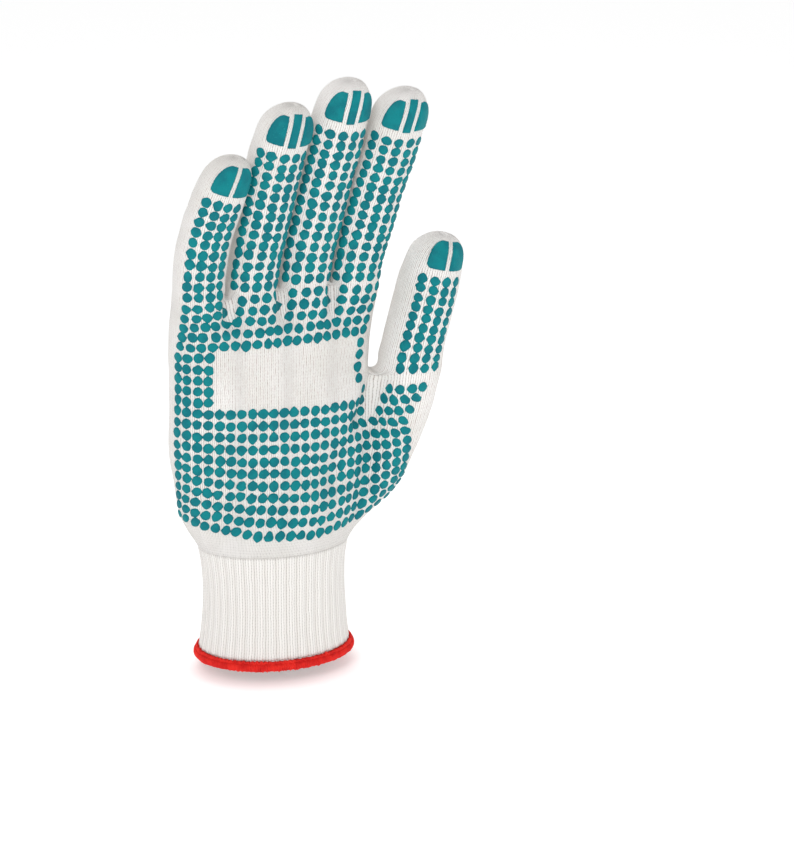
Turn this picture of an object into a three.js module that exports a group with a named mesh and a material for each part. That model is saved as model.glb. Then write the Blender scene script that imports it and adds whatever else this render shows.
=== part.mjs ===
// A seamless knitted work glove for the right hand, with a ribbed cuff, an overlocked hem and grip pads.
// It keeps the form it has on a hand: fingers up (+Z), palm to the front (-Y), thumb to the right (+X).
// The origin is the centre of the wrist opening, level with the hem's lower edge. Sizes are in millimetres.
import * as THREE from "three";

// Cuff and hem
const HEM_HEIGHT = 4.2;
const HEM_THICKNESS = 4.2;
const HEM_FLARE = 1.6; // how far the hem stands out from the cuff
const CUFF_LENGTH = 43;
const WRIST_WIDTH = 61;
const WRIST_DEPTH = 50;
const CUFF_WALL = 2.2;
const RIB_COUNT = 42;
const RIB_DEPTH = 0.9;

// Hand
const HAND_LENGTH = 109; // from the cuff to the webs between the fingers
const PALM_WIDTH = 88;
const PALM_DEPTH = 35;
const KNIT_WALL = 1.8;
const WEB_WIDTH = 1.6; // between the roots of two neighbouring fingers
const WEB_DIP = 1.2; // the middle of a web lies this much below the roots beside it
const THUMB_WEB_HEIGHT = 70; // from the cuff to the web between thumb and palm

// Fingers: a reach is the height of the tip above the root
const FINGER_DEPTH = 20;
const TIP_DOME = 10;
const LITTLE_REACH = 58;
const RING_REACH = 75.5;
const MIDDLE_REACH = 82.5;
const INDEX_REACH = 78.5;
const THUMB_REACH = 55;
const THUMB_WIDTH = 26;
const THUMB_DEPTH = 25;

// Grip pads on the fingertips
const PAD_THICKNESS = 0.7;
const PAD_HEIGHT = 15.5;
const PAD_BELOW_TIP = 5.5;
const PAD_SLIT = 1.6; // bare knit between two pads
const PAD_BAR_WIDTH = 4.2;

const PAD_COVER = 0.86; // share of the way from the middle of the fingertip's front to its side
const PAD_ROUNDNESS = 2.2;
const SIDE_PAD_TOP = 0.9; // share of the pads' height where the side pads end, beside a bar
const PAIR_PAD_TOP = 0.97;
const PAD_STEPS = [0, 0.4, 0.68, 0.87, 1];

const GAP = 0.3; // between two pieces that meet

// Heights that follow from the sizes
const CUFF_BOTTOM = HEM_HEIGHT + GAP;
const CUFF_TOP = CUFF_BOTTOM + CUFF_LENGTH;
const HAND_BOTTOM = CUFF_TOP + GAP;
const WEB_LEVEL = HAND_BOTTOM + HAND_LENGTH;
const THUMB_WEB_LEVEL = HAND_BOTTOM + THUMB_WEB_HEIGHT;

// The fingers. root is the share of the palm's width, rootUp the share of the hand's length that the root
// lies above the webs, and rootBack the share of the palm's depth that it lies towards the back of the hand.
// depth is the share of FINGER_DEPTH. lean, bow and curl are shares of the reach.
const FINGERS = [
  { node: "little_finger", reach: LITTLE_REACH, root: 0.245, rootUp: -0.018, rootBack: -0.17, swell: 1,
    depth: 0.93, lean: 0.165, bow: -0.025, curl: 0.27, pads: 2 },
  { node: "ring_finger", reach: RING_REACH, root: 0.242, rootUp: 0, rootBack: -0.15, swell: 1.03,
    depth: 1, lean: 0.14, bow: 0.014, curl: 0.24, pads: 3 },
  { node: "middle_finger", reach: MIDDLE_REACH, root: 0.24, rootUp: 0.01, rootBack: -0.14, swell: 1.06,
    depth: 1.03, lean: 0.15, bow: 0.024, curl: 0.25, pads: 3 },
  { node: "index_finger", reach: INDEX_REACH, root: 0.235, rootUp: -0.004, rootBack: -0.15, swell: 1.1,
    depth: 1, lean: 0.19, bow: 0.03, curl: 0.26, pads: 3 },
];
const THUMB = { node: "thumb", reach: THUMB_REACH, swell: 0.93, lean: 0.22, bow: 0.03, curl: 0.12, pads: 2 };
const THUMB_ROOT_RIGHT = 0.64; // share of the palm's width, from its middle to the thumb's
const THUMB_ROOT_FORWARD = 0.3; // share of the palm's depth

// Sections of a finger from its root to where the tip's dome begins, as shares of that length and of its size.
const FINGER_SECTIONS = [
  { along: 0, width: 1, depth: 1, squareness: 2.9, swell: 0 },
  { along: 0.14, width: 0.97, depth: 0.98, squareness: 2.6, swell: 0.3 },
  { along: 0.32, width: 1, depth: 1.02, squareness: 2.35, swell: 0.9 },
  { along: 0.55, width: 1, depth: 0.98, squareness: 2.3, swell: 1 },
  { along: 0.78, width: 1.02, depth: 0.97, squareness: 2.3, swell: 1.1 },
  { along: 1, width: 0.97, depth: 0.9, squareness: 2.3, swell: 1.2 },
];
const DOME_ANGLES = [26, 50, 72]; // degrees up the dome, above its first ring
const DOME_POWER = 0.8; // below 1 the tip is blunter than round
const LEAN_POWER = 1.4; // above 1 a finger leans more towards its tip
const CURL_POWER = 1.7; // above 1 a finger curls more towards its tip
const ROOT_TURN = 0.25; // share of the reach over which the sections turn square to the finger
const SHORT_STEP = 0.02; // share of the reach, to find the way that a finger points

// The hand between cuff and thumb web: how far each side has spread from the cuff's section to the palm's.
const HEEL_SECTIONS = [
  { up: 0.09, thumbSide: 0.17, littleSide: 0.3, depth: 0.08 },
  { up: 0.2, thumbSide: 0.41, littleSide: 0.66, depth: 0.26 },
  { up: 0.34, thumbSide: 0.62, littleSide: 0.88, depth: 0.48 },
  { up: 0.54, thumbSide: 0.77, littleSide: 1.02, depth: 0.72 },
  { up: 0.78, thumbSide: 0.9, littleSide: 1.03, depth: 0.9 },
];

// The palm from the thumb web to the finger roots: half widths and depths as shares of the palm's,
// and how far the section has turned into the row of finger roots.
const PALM_SECTIONS = [
  { up: 0, left: 1, front: 1.04, back: 0.96, roots: 0 },
  { up: 0.18, left: 0.995, front: 1.02, back: 0.98, roots: 0 },
  { up: 0.35, left: 0.99, front: 0.99, back: 1, roots: 0.04 },
  { up: 0.51, left: 0.985, front: 0.97, back: 1, roots: 0.13 },
  { up: 0.66, left: 0.98, front: 0.96, back: 0.99, roots: 0.33 },
  { up: 0.8, left: 0.975, front: 0.94, back: 0.97, roots: 0.6 },
  { up: 0.91, left: 0.97, front: 0.92, back: 0.95, roots: 0.84 },
];

// Folds and dents in the hand. face is -1 for the palm and 1 for the back. across and width are shares of the
// palm's width, up and height of the hand's length, and depth of the palm's depth.
const HAND_FOLDS = [
  { face: -1, across: -0.08, width: 0.3, up: 0.83, height: 0.035, depth: 0.06 },
  { face: -1, across: 0.28, width: 0.07, up: 0.62, height: 0.16, depth: 0.06 },
  { face: -1, across: 0.02, width: 0.3, up: 0.6, height: 0.1, depth: 0.05 },
  { face: 1, across: 0.25, width: 0.05, up: 0.93, height: 0.06, depth: 0.07 },
  { face: 1, across: 0.02, width: 0.05, up: 0.94, height: 0.06, depth: 0.07 },
  { face: 1, across: -0.22, width: 0.05, up: 0.93, height: 0.06, depth: 0.07 },
  { face: 1, across: 0.42, width: 0.1, up: 0.55, height: 0.14, depth: 0.1 },
];
const PALM_SQUARENESS = 2.7;
const PALM_CORNER = 0.9; // share of the half width where front and side meet
const INDEX_SIDE_RISE = 0.77; // share of the way up where the palm has its full width beside the thumb
const ROOT_SQUARENESS = FINGER_SECTIONS[0].squareness;
const WEB_END_SHARE = 0.72; // how far out the crease between two fingers lies, front and back

// The cuff from the hem to the hand, as shares of the wrist's width and depth.
const CUFF_SECTIONS = [
  { up: 0, width: 1.05, depth: 1.03 },
  { up: 0.22, width: 1.01, depth: 1.0 },
  { up: 0.52, width: 0.985, depth: 0.98 },
  { up: 0.8, width: 1.0, depth: 0.985 },
  { up: 1, width: 1.045, depth: 1.0 },
];
const RIB_PROFILE = [0, 0.8, 1, 0.8]; // height round one rib
const HEM_STEPS = 44;
const HEM_SIDES = 8;

// Points round a finger: four faces in front, four on each side and four at the back.
const FRONT_SHARES = [-0.8, -0.4, 0, 0.4, 0.8];
const FRONT_MIDDLE = FRONT_SHARES.indexOf(0); // the column up the middle of a front
const SIDE_SHARES = [-0.5, 0, 0.5];

function ovalHeight(share, squareness) {
  return (1 - Math.abs(share) ** squareness) ** (1 / squareness);
}

// A ring of 2D points that starts at the front left corner and runs round to the right.
function ovalRing(frontColumns, backColumns, halfWidth, front, back, squareness) {
  const side = ovalHeight(FRONT_SHARES[4], squareness);
  const sidePoint = (share, sign) => {
    const y = share * side;
    return [sign * halfWidth * ovalHeight(y, squareness), y * (y < 0 ? front : back)];
  };
  const frontPoints = frontColumns.map((s) => [s * halfWidth, -front * ovalHeight(s, squareness)]);
  const backPoints = backColumns.map((s) => [s * halfWidth, back * ovalHeight(s, squareness)]);
  const rightPoints = SIDE_SHARES.map((s) => sidePoint(s, 1));
  const leftPoints = SIDE_SHARES.map((s) => sidePoint(s, -1));
  return [...frontPoints, ...rightPoints, ...backPoints.reverse(), ...leftPoints.reverse()];
}

// Roots of the four fingers across the palm, with a web's width between them.
const rootRoom = PALM_WIDTH - (FINGERS.length - 1) * WEB_WIDTH;
const rootShares = FINGERS.reduce((sum, finger) => sum + finger.root, 0);
let rootLeft = -PALM_WIDTH / 2;
for (const finger of FINGERS) {
  finger.halfWidth = (finger.root / rootShares) * rootRoom / 2;
  finger.halfDepth = finger.depth * FINGER_DEPTH / 2;
  const rootUp = WEB_LEVEL + finger.rootUp * HAND_LENGTH;
  finger.base = new THREE.Vector3(rootLeft + finger.halfWidth, finger.rootBack * PALM_DEPTH, rootUp);
  rootLeft += 2 * finger.halfWidth + WEB_WIDTH;
}
THUMB.halfWidth = THUMB_WIDTH / 2;
THUMB.halfDepth = THUMB_DEPTH / 2;
const thumbX = THUMB_ROOT_RIGHT * PALM_WIDTH;
THUMB.base = new THREE.Vector3(thumbX, -THUMB_ROOT_FORWARD * PALM_DEPTH, THUMB_WEB_LEVEL);

// The line through the middle of a finger, and the way that it points there.
function fingerCentre(finger, along) {
  const sideways = finger.lean * along ** LEAN_POWER + finger.bow * Math.sin(Math.PI * along);
  const forward = finger.curl * along ** CURL_POWER;
  const step = new THREE.Vector3(sideways, -forward, along).multiplyScalar(finger.reach);
  return finger.base.clone().add(step);
}

function fingerRing(finger, along, halfWidth, halfDepth, squareness, inset, lift) {
  const centre = fingerCentre(finger, along);
  const behind = fingerCentre(finger, Math.max(0, along - SHORT_STEP));
  const ahead = fingerCentre(finger, along + SHORT_STEP).sub(behind).normalize();
  const turn = Math.min(1, along / ROOT_TURN);
  const up = new THREE.Vector3(0, 0, 1).lerp(ahead, turn).normalize();
  const right = new THREE.Vector3(1, 0, 0).addScaledVector(up, -up.x).normalize();
  const back = new THREE.Vector3().crossVectors(up, right);
  const depth = halfDepth - inset;
  const ring = ovalRing(FRONT_SHARES, FRONT_SHARES, halfWidth - inset, depth, depth, squareness);
  return ring.map(([x, y]) => {
    const point = centre.clone().addScaledVector(right, x).addScaledVector(back, y);
    point.z += lift;
    return point;
  });
}

// All rings of a finger from root to tip, and the point that closes it. lift keeps the root off the hand.
function fingerRings(finger, inset, lift) {
  const domeStart = 1 - TIP_DOME / finger.reach;
  const rings = FINGER_SECTIONS.map((section) => {
    const swollen = 1 + (finger.swell - 1) * section.swell;
    const halfWidth = finger.halfWidth * section.width * swollen;
    const halfDepth = finger.halfDepth * section.depth;
    const along = section.along * domeStart;
    const rise = lift * (1 - section.along);
    return fingerRing(finger, along, halfWidth, halfDepth, section.squareness, inset, rise);
  });
  const last = FINGER_SECTIONS[FINGER_SECTIONS.length - 1];
  const topWidth = finger.halfWidth * last.width * (1 + (finger.swell - 1) * last.swell) - inset;
  const topDepth = finger.halfDepth * last.depth - inset;
  const dome = (TIP_DOME - inset) / finger.reach;
  for (const degrees of DOME_ANGLES) {
    const angle = THREE.MathUtils.degToRad(degrees);
    const along = domeStart + dome * Math.sin(angle);
    const narrow = Math.cos(angle) ** DOME_POWER;
    rings.push(fingerRing(finger, along, topWidth * narrow, topDepth * narrow, last.squareness, 0, 0));
  }
  return { rings, tip: fingerCentre(finger, domeStart + dome) };
}

// A closed solid is gathered here as points and triangles.
class Solid {
  constructor() {
    this.points = [];
    this.triangles = [];
  }
  addRing(ring) {
    const first = this.points.length;
    this.points.push(...ring);
    return ring.map((point, index) => first + index);
  }
  addQuad(a, b, c, d, inward) {
    const straight = this.points[a].distanceTo(this.points[c]) <= this.points[b].distanceTo(this.points[d]);
    const halves = straight ? [[a, b, c], [a, c, d]] : [[a, b, d], [b, c, d]];
    for (const [p, q, r] of halves) {
      this.triangles.push(inward ? [p, r, q] : [p, q, r]);
    }
  }
  // Joins two loops of the same length, the second above the first or inside it.
  bridge(lower, upper, inward = false) {
    lower.forEach((point, index) => {
      const next = (index + 1) % lower.length;
      this.addQuad(lower[index], lower[next], upper[next], upper[index], inward);
    });
  }
  // Joins two open rows of the same length.
  strip(row, nextRow, inward = false) {
    for (let index = 0; index + 1 < row.length; index += 1) {
      this.addQuad(row[index], nextRow[index], nextRow[index + 1], row[index + 1], inward);
    }
  }
  closeTip(ring, tip, inward = false) {
    const [top] = this.addRing([tip]);
    ring.forEach((point, index) => {
      const next = ring[(index + 1) % ring.length];
      this.triangles.push(inward ? [point, top, next] : [point, next, top]);
    });
  }
  toGeometry() {
    const geometry = new THREE.BufferGeometry();
    const values = this.points.flatMap((point) => [point.x, point.y, point.z]);
    geometry.setAttribute("position", new THREE.Float32BufferAttribute(values, 3));
    geometry.setIndex(this.triangles.flat());
    geometry.computeVertexNormals();
    return geometry;
  }
}

// A knitted finger: an outer wall, an inner wall and the rim at the root that joins them.
function fingerSolid(finger) {
  const solid = new Solid();
  const walls = [0, KNIT_WALL].map((inset) => {
    const { rings, tip } = fingerRings(finger, inset, GAP);
    const loops = rings.map((ring) => solid.addRing(ring));
    const inward = inset > 0;
    for (let index = 0; index + 1 < loops.length; index += 1) {
      solid.bridge(loops[index], loops[index + 1], inward);
    }
    solid.closeTip(loops[loops.length - 1], tip, inward);
    return loops;
  });
  solid.bridge(walls[1][0], walls[0][0]);
  return solid;
}

// The sides of a finger's root ring, each listed from front to back.
const rightSide = (loop) => [4, 5, 6, 7, 8].map((index) => loop[index]);
const leftSide = (loop) => [0, 15, 14, 13, 12].map((index) => loop[index]);

function rootRing(finger, inset) {
  const { width, depth, squareness } = FINGER_SECTIONS[0];
  return fingerRing(finger, 0, finger.halfWidth * width, finger.halfDepth * depth, squareness, inset, 0);
}

// The middle line of the web between two root sides, dipped, and pulled in from the front and the back.
function webLine(sideA, sideB, dip) {
  return sideA.map((point, index) => {
    const middle = point.clone().lerp(sideB[index], 0.5);
    const atEnd = index === 0 || index === sideA.length - 1;
    middle.z -= dip;
    middle.y *= atEnd ? WEB_END_SHARE : 1;
    return middle;
  });
}

// Runs four finger loops and the webs' ends between them into one ring round the hand.
function joinRoots(loops, webs) {
  const front = [];
  const back = [];
  loops.forEach((loop, index) => {
    front.push(...loop.slice(0, 5));
    back.unshift(...loop.slice(8, 13));
    if (index < webs.length) {
      front.push(webs[index][0]);
      back.unshift(webs[index][4]);
    }
  });
  return [...front, ...loops[loops.length - 1].slice(5, 8), ...back, ...loops[0].slice(13, 16)];
}

function rootLoops(inset) {
  const loops = FINGERS.map((finger) => rootRing(finger, inset));
  const dip = WEB_DIP + inset;
  const webs = loops.slice(1).map((loop, index) => webLine(rightSide(loops[index]), leftSide(loop), dip));
  return { loops, webs };
}

// The ring round the hand at the finger roots: its front row, right side, back row and left side.
const FRONT_COUNT = FINGERS.length * (FRONT_SHARES.length + 1) - 1;
const HAND_RIGHT = [-1, 0, 1, 2, 3].map((step) => FRONT_COUNT + step);

// Each column's place across the palm, taken from the finger roots so that the knit's columns run on.
const { loops: outerLoops, webs: outerWebs } = rootLoops(0);
const outerRow = joinRoots(outerLoops, outerWebs).slice(0, FRONT_COUNT);
const cornerX = outerRow[FRONT_COUNT - 1].x;
const palmColumns = outerRow.map((point) => point.x / cornerX * PALM_CORNER);

// Presses the folds into a point of either wall.
function foldIn(point) {
  const across = point.x / PALM_WIDTH;
  const up = (point.z - HAND_BOTTOM) / HAND_LENGTH;
  const side = Math.sign(point.y);
  for (const fold of HAND_FOLDS.filter((row) => row.face === side)) {
    const away = ((across - fold.across) / fold.width) ** 2 + ((up - fold.up) / fold.height) ** 2;
    point.y -= side * fold.depth * PALM_DEPTH * Math.exp(-away);
  }
  return point;
}

// A section of the palm between the thumb web and the finger roots.
function palmRing(section, inset) {
  const { loops, webs } = rootLoops(inset);
  const row = joinRoots(loops, webs);
  const rightAtWeb = THUMB.base.x - THUMB.halfWidth - WEB_WIDTH;
  const widening = Math.min(1, section.up / INDEX_SIDE_RISE);
  const rightEdge = THREE.MathUtils.lerp(rightAtWeb, PALM_WIDTH / 2, widening);
  const leftEdge = -section.left * PALM_WIDTH / 2;
  const halfWidth = (rightEdge - leftEdge) / 2 - inset;
  const middle = (rightEdge + leftEdge) / 2;
  const front = section.front * PALM_DEPTH / 2 - inset;
  const back = section.back * PALM_DEPTH / 2 - inset;
  const oval = ovalRing(palmColumns, palmColumns, halfWidth, front, back, PALM_SQUARENESS);
  return oval.map(([x, y], index) => {
    const height = THREE.MathUtils.lerp(THUMB_WEB_LEVEL, row[index].z, section.up);
    const plain = new THREE.Vector3(middle + x, y, height);
    const rooted = new THREE.Vector3(row[index].x, row[index].y, height);
    return foldIn(plain.lerp(rooted, section.roots));
  });
}

// The ring round palm and thumb together, level with the thumb web.
function joinThumb(palm, web, thumb) {
  const palmFront = palm.slice(0, FRONT_COUNT);
  const palmBack = palm.slice(FRONT_COUNT + 3);
  return [...palmFront, web[0], ...thumb.slice(0, 13), web[4], ...palmBack];
}

// An ellipse at the top of the cuff with as many points, spread evenly from the same front left corner.
function cuffOval(count, inset) {
  const last = CUFF_SECTIONS[CUFF_SECTIONS.length - 1];
  const halfWidth = last.width * WRIST_WIDTH / 2 - inset;
  const halfDepth = last.depth * WRIST_DEPTH / 2 - inset;
  return Array.from({ length: count }, (unused, index) => {
    const angle = Math.PI + (index + 2) * 2 * Math.PI / count;
    return new THREE.Vector3(halfWidth * Math.cos(angle), halfDepth * Math.sin(angle), HAND_BOTTOM);
  });
}

function heelRing(section, cuffRing, thumbRing) {
  const halfWrist = WRIST_WIDTH / 2;
  return cuffRing.map((start, index) => {
    const end = thumbRing[index];
    const across = (start.x / halfWrist + 1) / 2;
    const spread = THREE.MathUtils.lerp(section.littleSide, section.thumbSide, across);
    const x = THREE.MathUtils.lerp(start.x, end.x, spread);
    const y = THREE.MathUtils.lerp(start.y, end.y, section.depth);
    return foldIn(new THREE.Vector3(x, y, HAND_BOTTOM + section.up * THUMB_WEB_HEIGHT));
  });
}

// One wall of the hand. It returns the loops where the wall ends: the fingers', the thumb's and the wrist's.
function handWall(solid, inset) {
  const inward = inset > 0;
  const palmPoints = palmRing(PALM_SECTIONS[0], inset);
  const thumbPoints = fingerRing(THUMB, 0, THUMB.halfWidth, THUMB.halfDepth, ROOT_SQUARENESS, inset, 0);
  const palmSide = HAND_RIGHT.map((index) => palmPoints[index]);
  const webPoints = webLine(palmSide, leftSide(thumbPoints), WEB_DIP + inset);
  const palm = solid.addRing(palmPoints);
  const thumb = solid.addRing(thumbPoints);
  const thumbWeb = solid.addRing(webPoints);
  solid.strip(HAND_RIGHT.map((index) => palm[index]), thumbWeb, inward);
  solid.strip(thumbWeb, leftSide(thumb), inward);

  const aroundThumb = joinThumb(palmPoints, webPoints, thumbPoints);
  const cuffPoints = cuffOval(aroundThumb.length, inset);
  const wrist = solid.addRing(cuffPoints);
  let below = wrist;
  for (const section of HEEL_SECTIONS) {
    const ring = solid.addRing(heelRing(section, cuffPoints, aroundThumb));
    solid.bridge(below, ring, inward);
    below = ring;
  }
  solid.bridge(below, joinThumb(palm, thumbWeb, thumb), inward);

  below = palm;
  for (const section of PALM_SECTIONS.slice(1)) {
    const ring = solid.addRing(palmRing(section, inset));
    solid.bridge(below, ring, inward);
    below = ring;
  }
  const roots = rootLoops(inset);
  const loops = roots.loops.map((loop) => solid.addRing(loop));
  const webs = roots.webs.map((web) => solid.addRing(web));
  solid.bridge(below, joinRoots(loops, webs), inward);
  webs.forEach((web, index) => {
    solid.strip(rightSide(loops[index]), web, inward);
    solid.strip(web, leftSide(loops[index + 1]), inward);
  });
  return { loops: [...loops, thumb], wrist };
}

function handSolid() {
  const solid = new Solid();
  const outer = handWall(solid, 0);
  const inner = handWall(solid, KNIT_WALL);
  outer.loops.forEach((loop, index) => solid.bridge(loop, inner.loops[index]));
  solid.bridge(inner.wrist, outer.wrist);
  return solid;
}

// The ribbed cuff: ribs outside, plain inside.
function cuffSolid() {
  const solid = new Solid();
  const pointCount = RIB_COUNT * RIB_PROFILE.length;
  const cuffRing = (section, inset, ribs) => {
    const ring = Array.from({ length: pointCount }, (unused, index) => {
      const angle = index / pointCount * 2 * Math.PI;
      const groove = ribs * RIB_DEPTH * (1 - RIB_PROFILE[index % RIB_PROFILE.length]);
      const x = (section.width * WRIST_WIDTH / 2 - inset - groove) * Math.cos(angle);
      const y = (section.depth * WRIST_DEPTH / 2 - inset - groove) * Math.sin(angle);
      return new THREE.Vector3(x, y, CUFF_BOTTOM + section.up * CUFF_LENGTH);
    });
    return solid.addRing(ring);
  };
  const outer = CUFF_SECTIONS.map((section) => cuffRing(section, 0, 1));
  const innerSections = CUFF_SECTIONS.filter((section, index) => index % 2 === 0);
  const inner = innerSections.map((section) => cuffRing(section, CUFF_WALL, 0));
  outer.slice(1).forEach((ring, index) => solid.bridge(outer[index], ring));
  inner.slice(1).forEach((ring, index) => solid.bridge(inner[index], ring, true));
  solid.bridge(inner[0], outer[0]);
  solid.bridge(outer[outer.length - 1], inner[inner.length - 1]);
  return solid;
}

// The overlocked edge: a round cord of thread in an oval under the cuff.
function hemSolid() {
  const solid = new Solid();
  const halfWidth = CUFF_SECTIONS[0].width * WRIST_WIDTH / 2 + HEM_FLARE - HEM_THICKNESS / 2;
  const halfDepth = CUFF_SECTIONS[0].depth * WRIST_DEPTH / 2 + HEM_FLARE - HEM_THICKNESS / 2;
  const sections = Array.from({ length: HEM_STEPS }, (unused, step) => {
    const angle = step / HEM_STEPS * 2 * Math.PI;
    const ring = Array.from({ length: HEM_SIDES }, (alsoUnused, side) => {
      const turn = side / HEM_SIDES * 2 * Math.PI;
      const out = HEM_THICKNESS / 2 * Math.cos(turn);
      const x = (halfWidth + out) * Math.cos(angle);
      const y = (halfDepth + out) * Math.sin(angle);
      return new THREE.Vector3(x, y, HEM_HEIGHT / 2 * (1 - Math.sin(turn)));
    });
    return solid.addRing(ring);
  });
  sections.forEach((ring, step) => solid.bridge(ring, sections[(step + 1) % HEM_STEPS]));
  return solid;
}

// How far each ring of a finger lies above its root.
function ringHeights(finger) {
  const bodyLength = finger.reach - TIP_DOME;
  const body = FINGER_SECTIONS.map((section) => section.along * bodyLength);
  const domeHeight = (degrees) => bodyLength + TIP_DOME * Math.sin(THREE.MathUtils.degToRad(degrees));
  const dome = DOME_ANGLES.map(domeHeight);
  return [...body, ...dome];
}

// The distance between two columns of points in the middle of a finger's front.
const columnStep = (ring) => ring[2].distanceTo(ring[3]);

// A point over the front of a finger, between the rings and the columns of its outer wall.
function overFront(rings, heights, x, height, lift) {
  const above = heights.findIndex((ringHeight) => ringHeight > height);
  const low = above < 0 ? heights.length - 2 : above - 1;
  const up = (height - heights[low]) / (heights[low + 1] - heights[low]);
  const step = THREE.MathUtils.lerp(columnStep(rings[low]), columnStep(rings[low + 1]), up);
  const column = FRONT_MIDDLE + x / step;
  const left = Math.floor(column);
  const at = (ring, index) => ring[(index + ring.length) % ring.length];
  const lower = at(rings[low], left).clone().lerp(at(rings[low], left + 1), column - left);
  const upper = at(rings[low + 1], left).clone().lerp(at(rings[low + 1], left + 1), column - left);
  const rightward = at(rings[low], left + 1).clone().sub(at(rings[low], left));
  const normal = new THREE.Vector3().crossVectors(rightward, upper.clone().sub(lower)).normalize();
  return { point: lower.lerp(upper, up).addScaledVector(normal, lift), step };
}

// One pad: a thin plate that lies over the knit. columnsAt lists its columns from left to right at a share of
// its height and a step between the knit's columns, so that the pad bends where the finger bends.
function padSolid(finger, topShare, columnsAt) {
  const solid = new Solid();
  const { rings } = fingerRings(finger, 0, GAP);
  const heights = ringHeights(finger);
  const bottom = finger.reach - PAD_BELOW_TIP - PAD_HEIGHT;
  const top = bottom + topShare * PAD_HEIGHT;
  const between = heights.filter((height) => height > bottom + 1 && height < top - 1);
  const steps = PAD_STEPS.map((share) => bottom + share * (top - bottom));
  const free = steps.filter((height) => between.every((ring) => Math.abs(ring - height) > 1));
  const rowHeights = [...free, ...between].sort((a, b) => a - b);
  const [under, over] = [GAP, GAP + PAD_THICKNESS].map((lift) => rowHeights.map((height) => {
    const { step } = overFront(rings, heights, 0, height, 0);
    const columns = columnsAt((height - bottom) / PAD_HEIGHT, step);
    return solid.addRing(columns.map((x) => overFront(rings, heights, x, height, lift).point));
  }));
  const last = rowHeights.length - 1;
  const right = under[0].length - 1;
  for (let row = 0; row < last; row += 1) {
    solid.strip(over[row], over[row + 1], true);
    solid.strip(under[row], under[row + 1]);
    solid.addQuad(under[row][0], over[row][0], over[row + 1][0], under[row + 1][0]);
    solid.addQuad(over[row][right], under[row][right], under[row + 1][right], over[row + 1][right]);
  }
  solid.strip(under[0], over[0], true);
  solid.strip(over[last], under[last], true);
  return solid;
}

// The columns of a pad beside the middle: its edges, and the knit's columns where they lie between them.
function sideColumns(inner, outer, step) {
  const first = step > inner + 0.2 && step < outer - 0.6 ? step : THREE.MathUtils.lerp(inner, outer, 0.3);
  const second = 2 * step < outer - 0.3 ? 2 * step : (first + outer) / 2;
  return [inner, first, second, outer];
}

// The pads of one fingertip: two with a slit between them, or three with a narrow bar in the middle.
function padSolids(finger) {
  const last = FINGER_SECTIONS[FINGER_SECTIONS.length - 1];
  const cover = PAD_COVER * finger.halfWidth * last.width * (1 + (finger.swell - 1) * last.swell);
  const hasBar = finger.pads === 3;
  const inner = hasBar ? PAD_BAR_WIDTH / 2 + PAD_SLIT : PAD_SLIT / 2;
  const sideTop = hasBar ? SIDE_PAD_TOP : PAIR_PAD_TOP;
  const name = finger.node.replace("_finger", "");
  const rightColumns = (share, step) => sideColumns(inner, cover * ovalHeight(share, PAD_ROUNDNESS), step);
  const leftColumns = (share, step) => rightColumns(share, step).map((x) => -x).reverse();
  const pads = [
    { node: `${name}_pad_left`, solid: padSolid(finger, sideTop, leftColumns) },
    { node: `${name}_pad_right`, solid: padSolid(finger, sideTop, rightColumns) },
  ];
  if (hasBar) {
    const half = PAD_BAR_WIDTH / 2;
    pads.push({ node: `${name}_pad_bar`, solid: padSolid(finger, 1, () => [-half, 0, half]) });
  }
  return pads;
}

const knit = { color: 0xf2eeeb, roughness: 0.95, metalness: 0 };
const ribKnit = { color: 0xe6e2dc, roughness: 0.95, metalness: 0 };
const redThread = { color: 0xdf3a32, roughness: 0.85, metalness: 0 };
const gripPad = { color: 0x08828c, roughness: 0.55, metalness: 0 };

const glove = new THREE.Group();
glove.name = "work_glove";

function addPiece(name, solid, finish) {
  const mesh = new THREE.Mesh(solid.toGeometry(), new THREE.MeshStandardMaterial(finish));
  mesh.name = name;
  glove.add(mesh);
}

addPiece("hand_body", handSolid(), knit);
addPiece("rib_cuff", cuffSolid(), ribKnit);
addPiece("hem_edge", hemSolid(), redThread);
for (const finger of [...FINGERS, THUMB]) {
  addPiece(finger.node, fingerSolid(finger), knit);
  for (const pad of padSolids(finger)) {
    addPiece(pad.node, pad.solid, gripPad);
  }
}

export default glove;
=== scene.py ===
# %% [markdown]
# # A knitted work glove with printed grip dots
# The glove is one seamless knit: four fingers, a thumb, a hand and a ribbed cuff, closed by a red overlocked
# hem. Soft teal dots are printed on the palm side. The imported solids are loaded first. They fix every size
# and place, and the looks are built round them in metres, with +Z up the fingers and -Y out of the palm.

# %% Load the frame
import bpy
import math
import numpy as np
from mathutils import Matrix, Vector, noise
from mathutils.bvhtree import BVHTree


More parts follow.
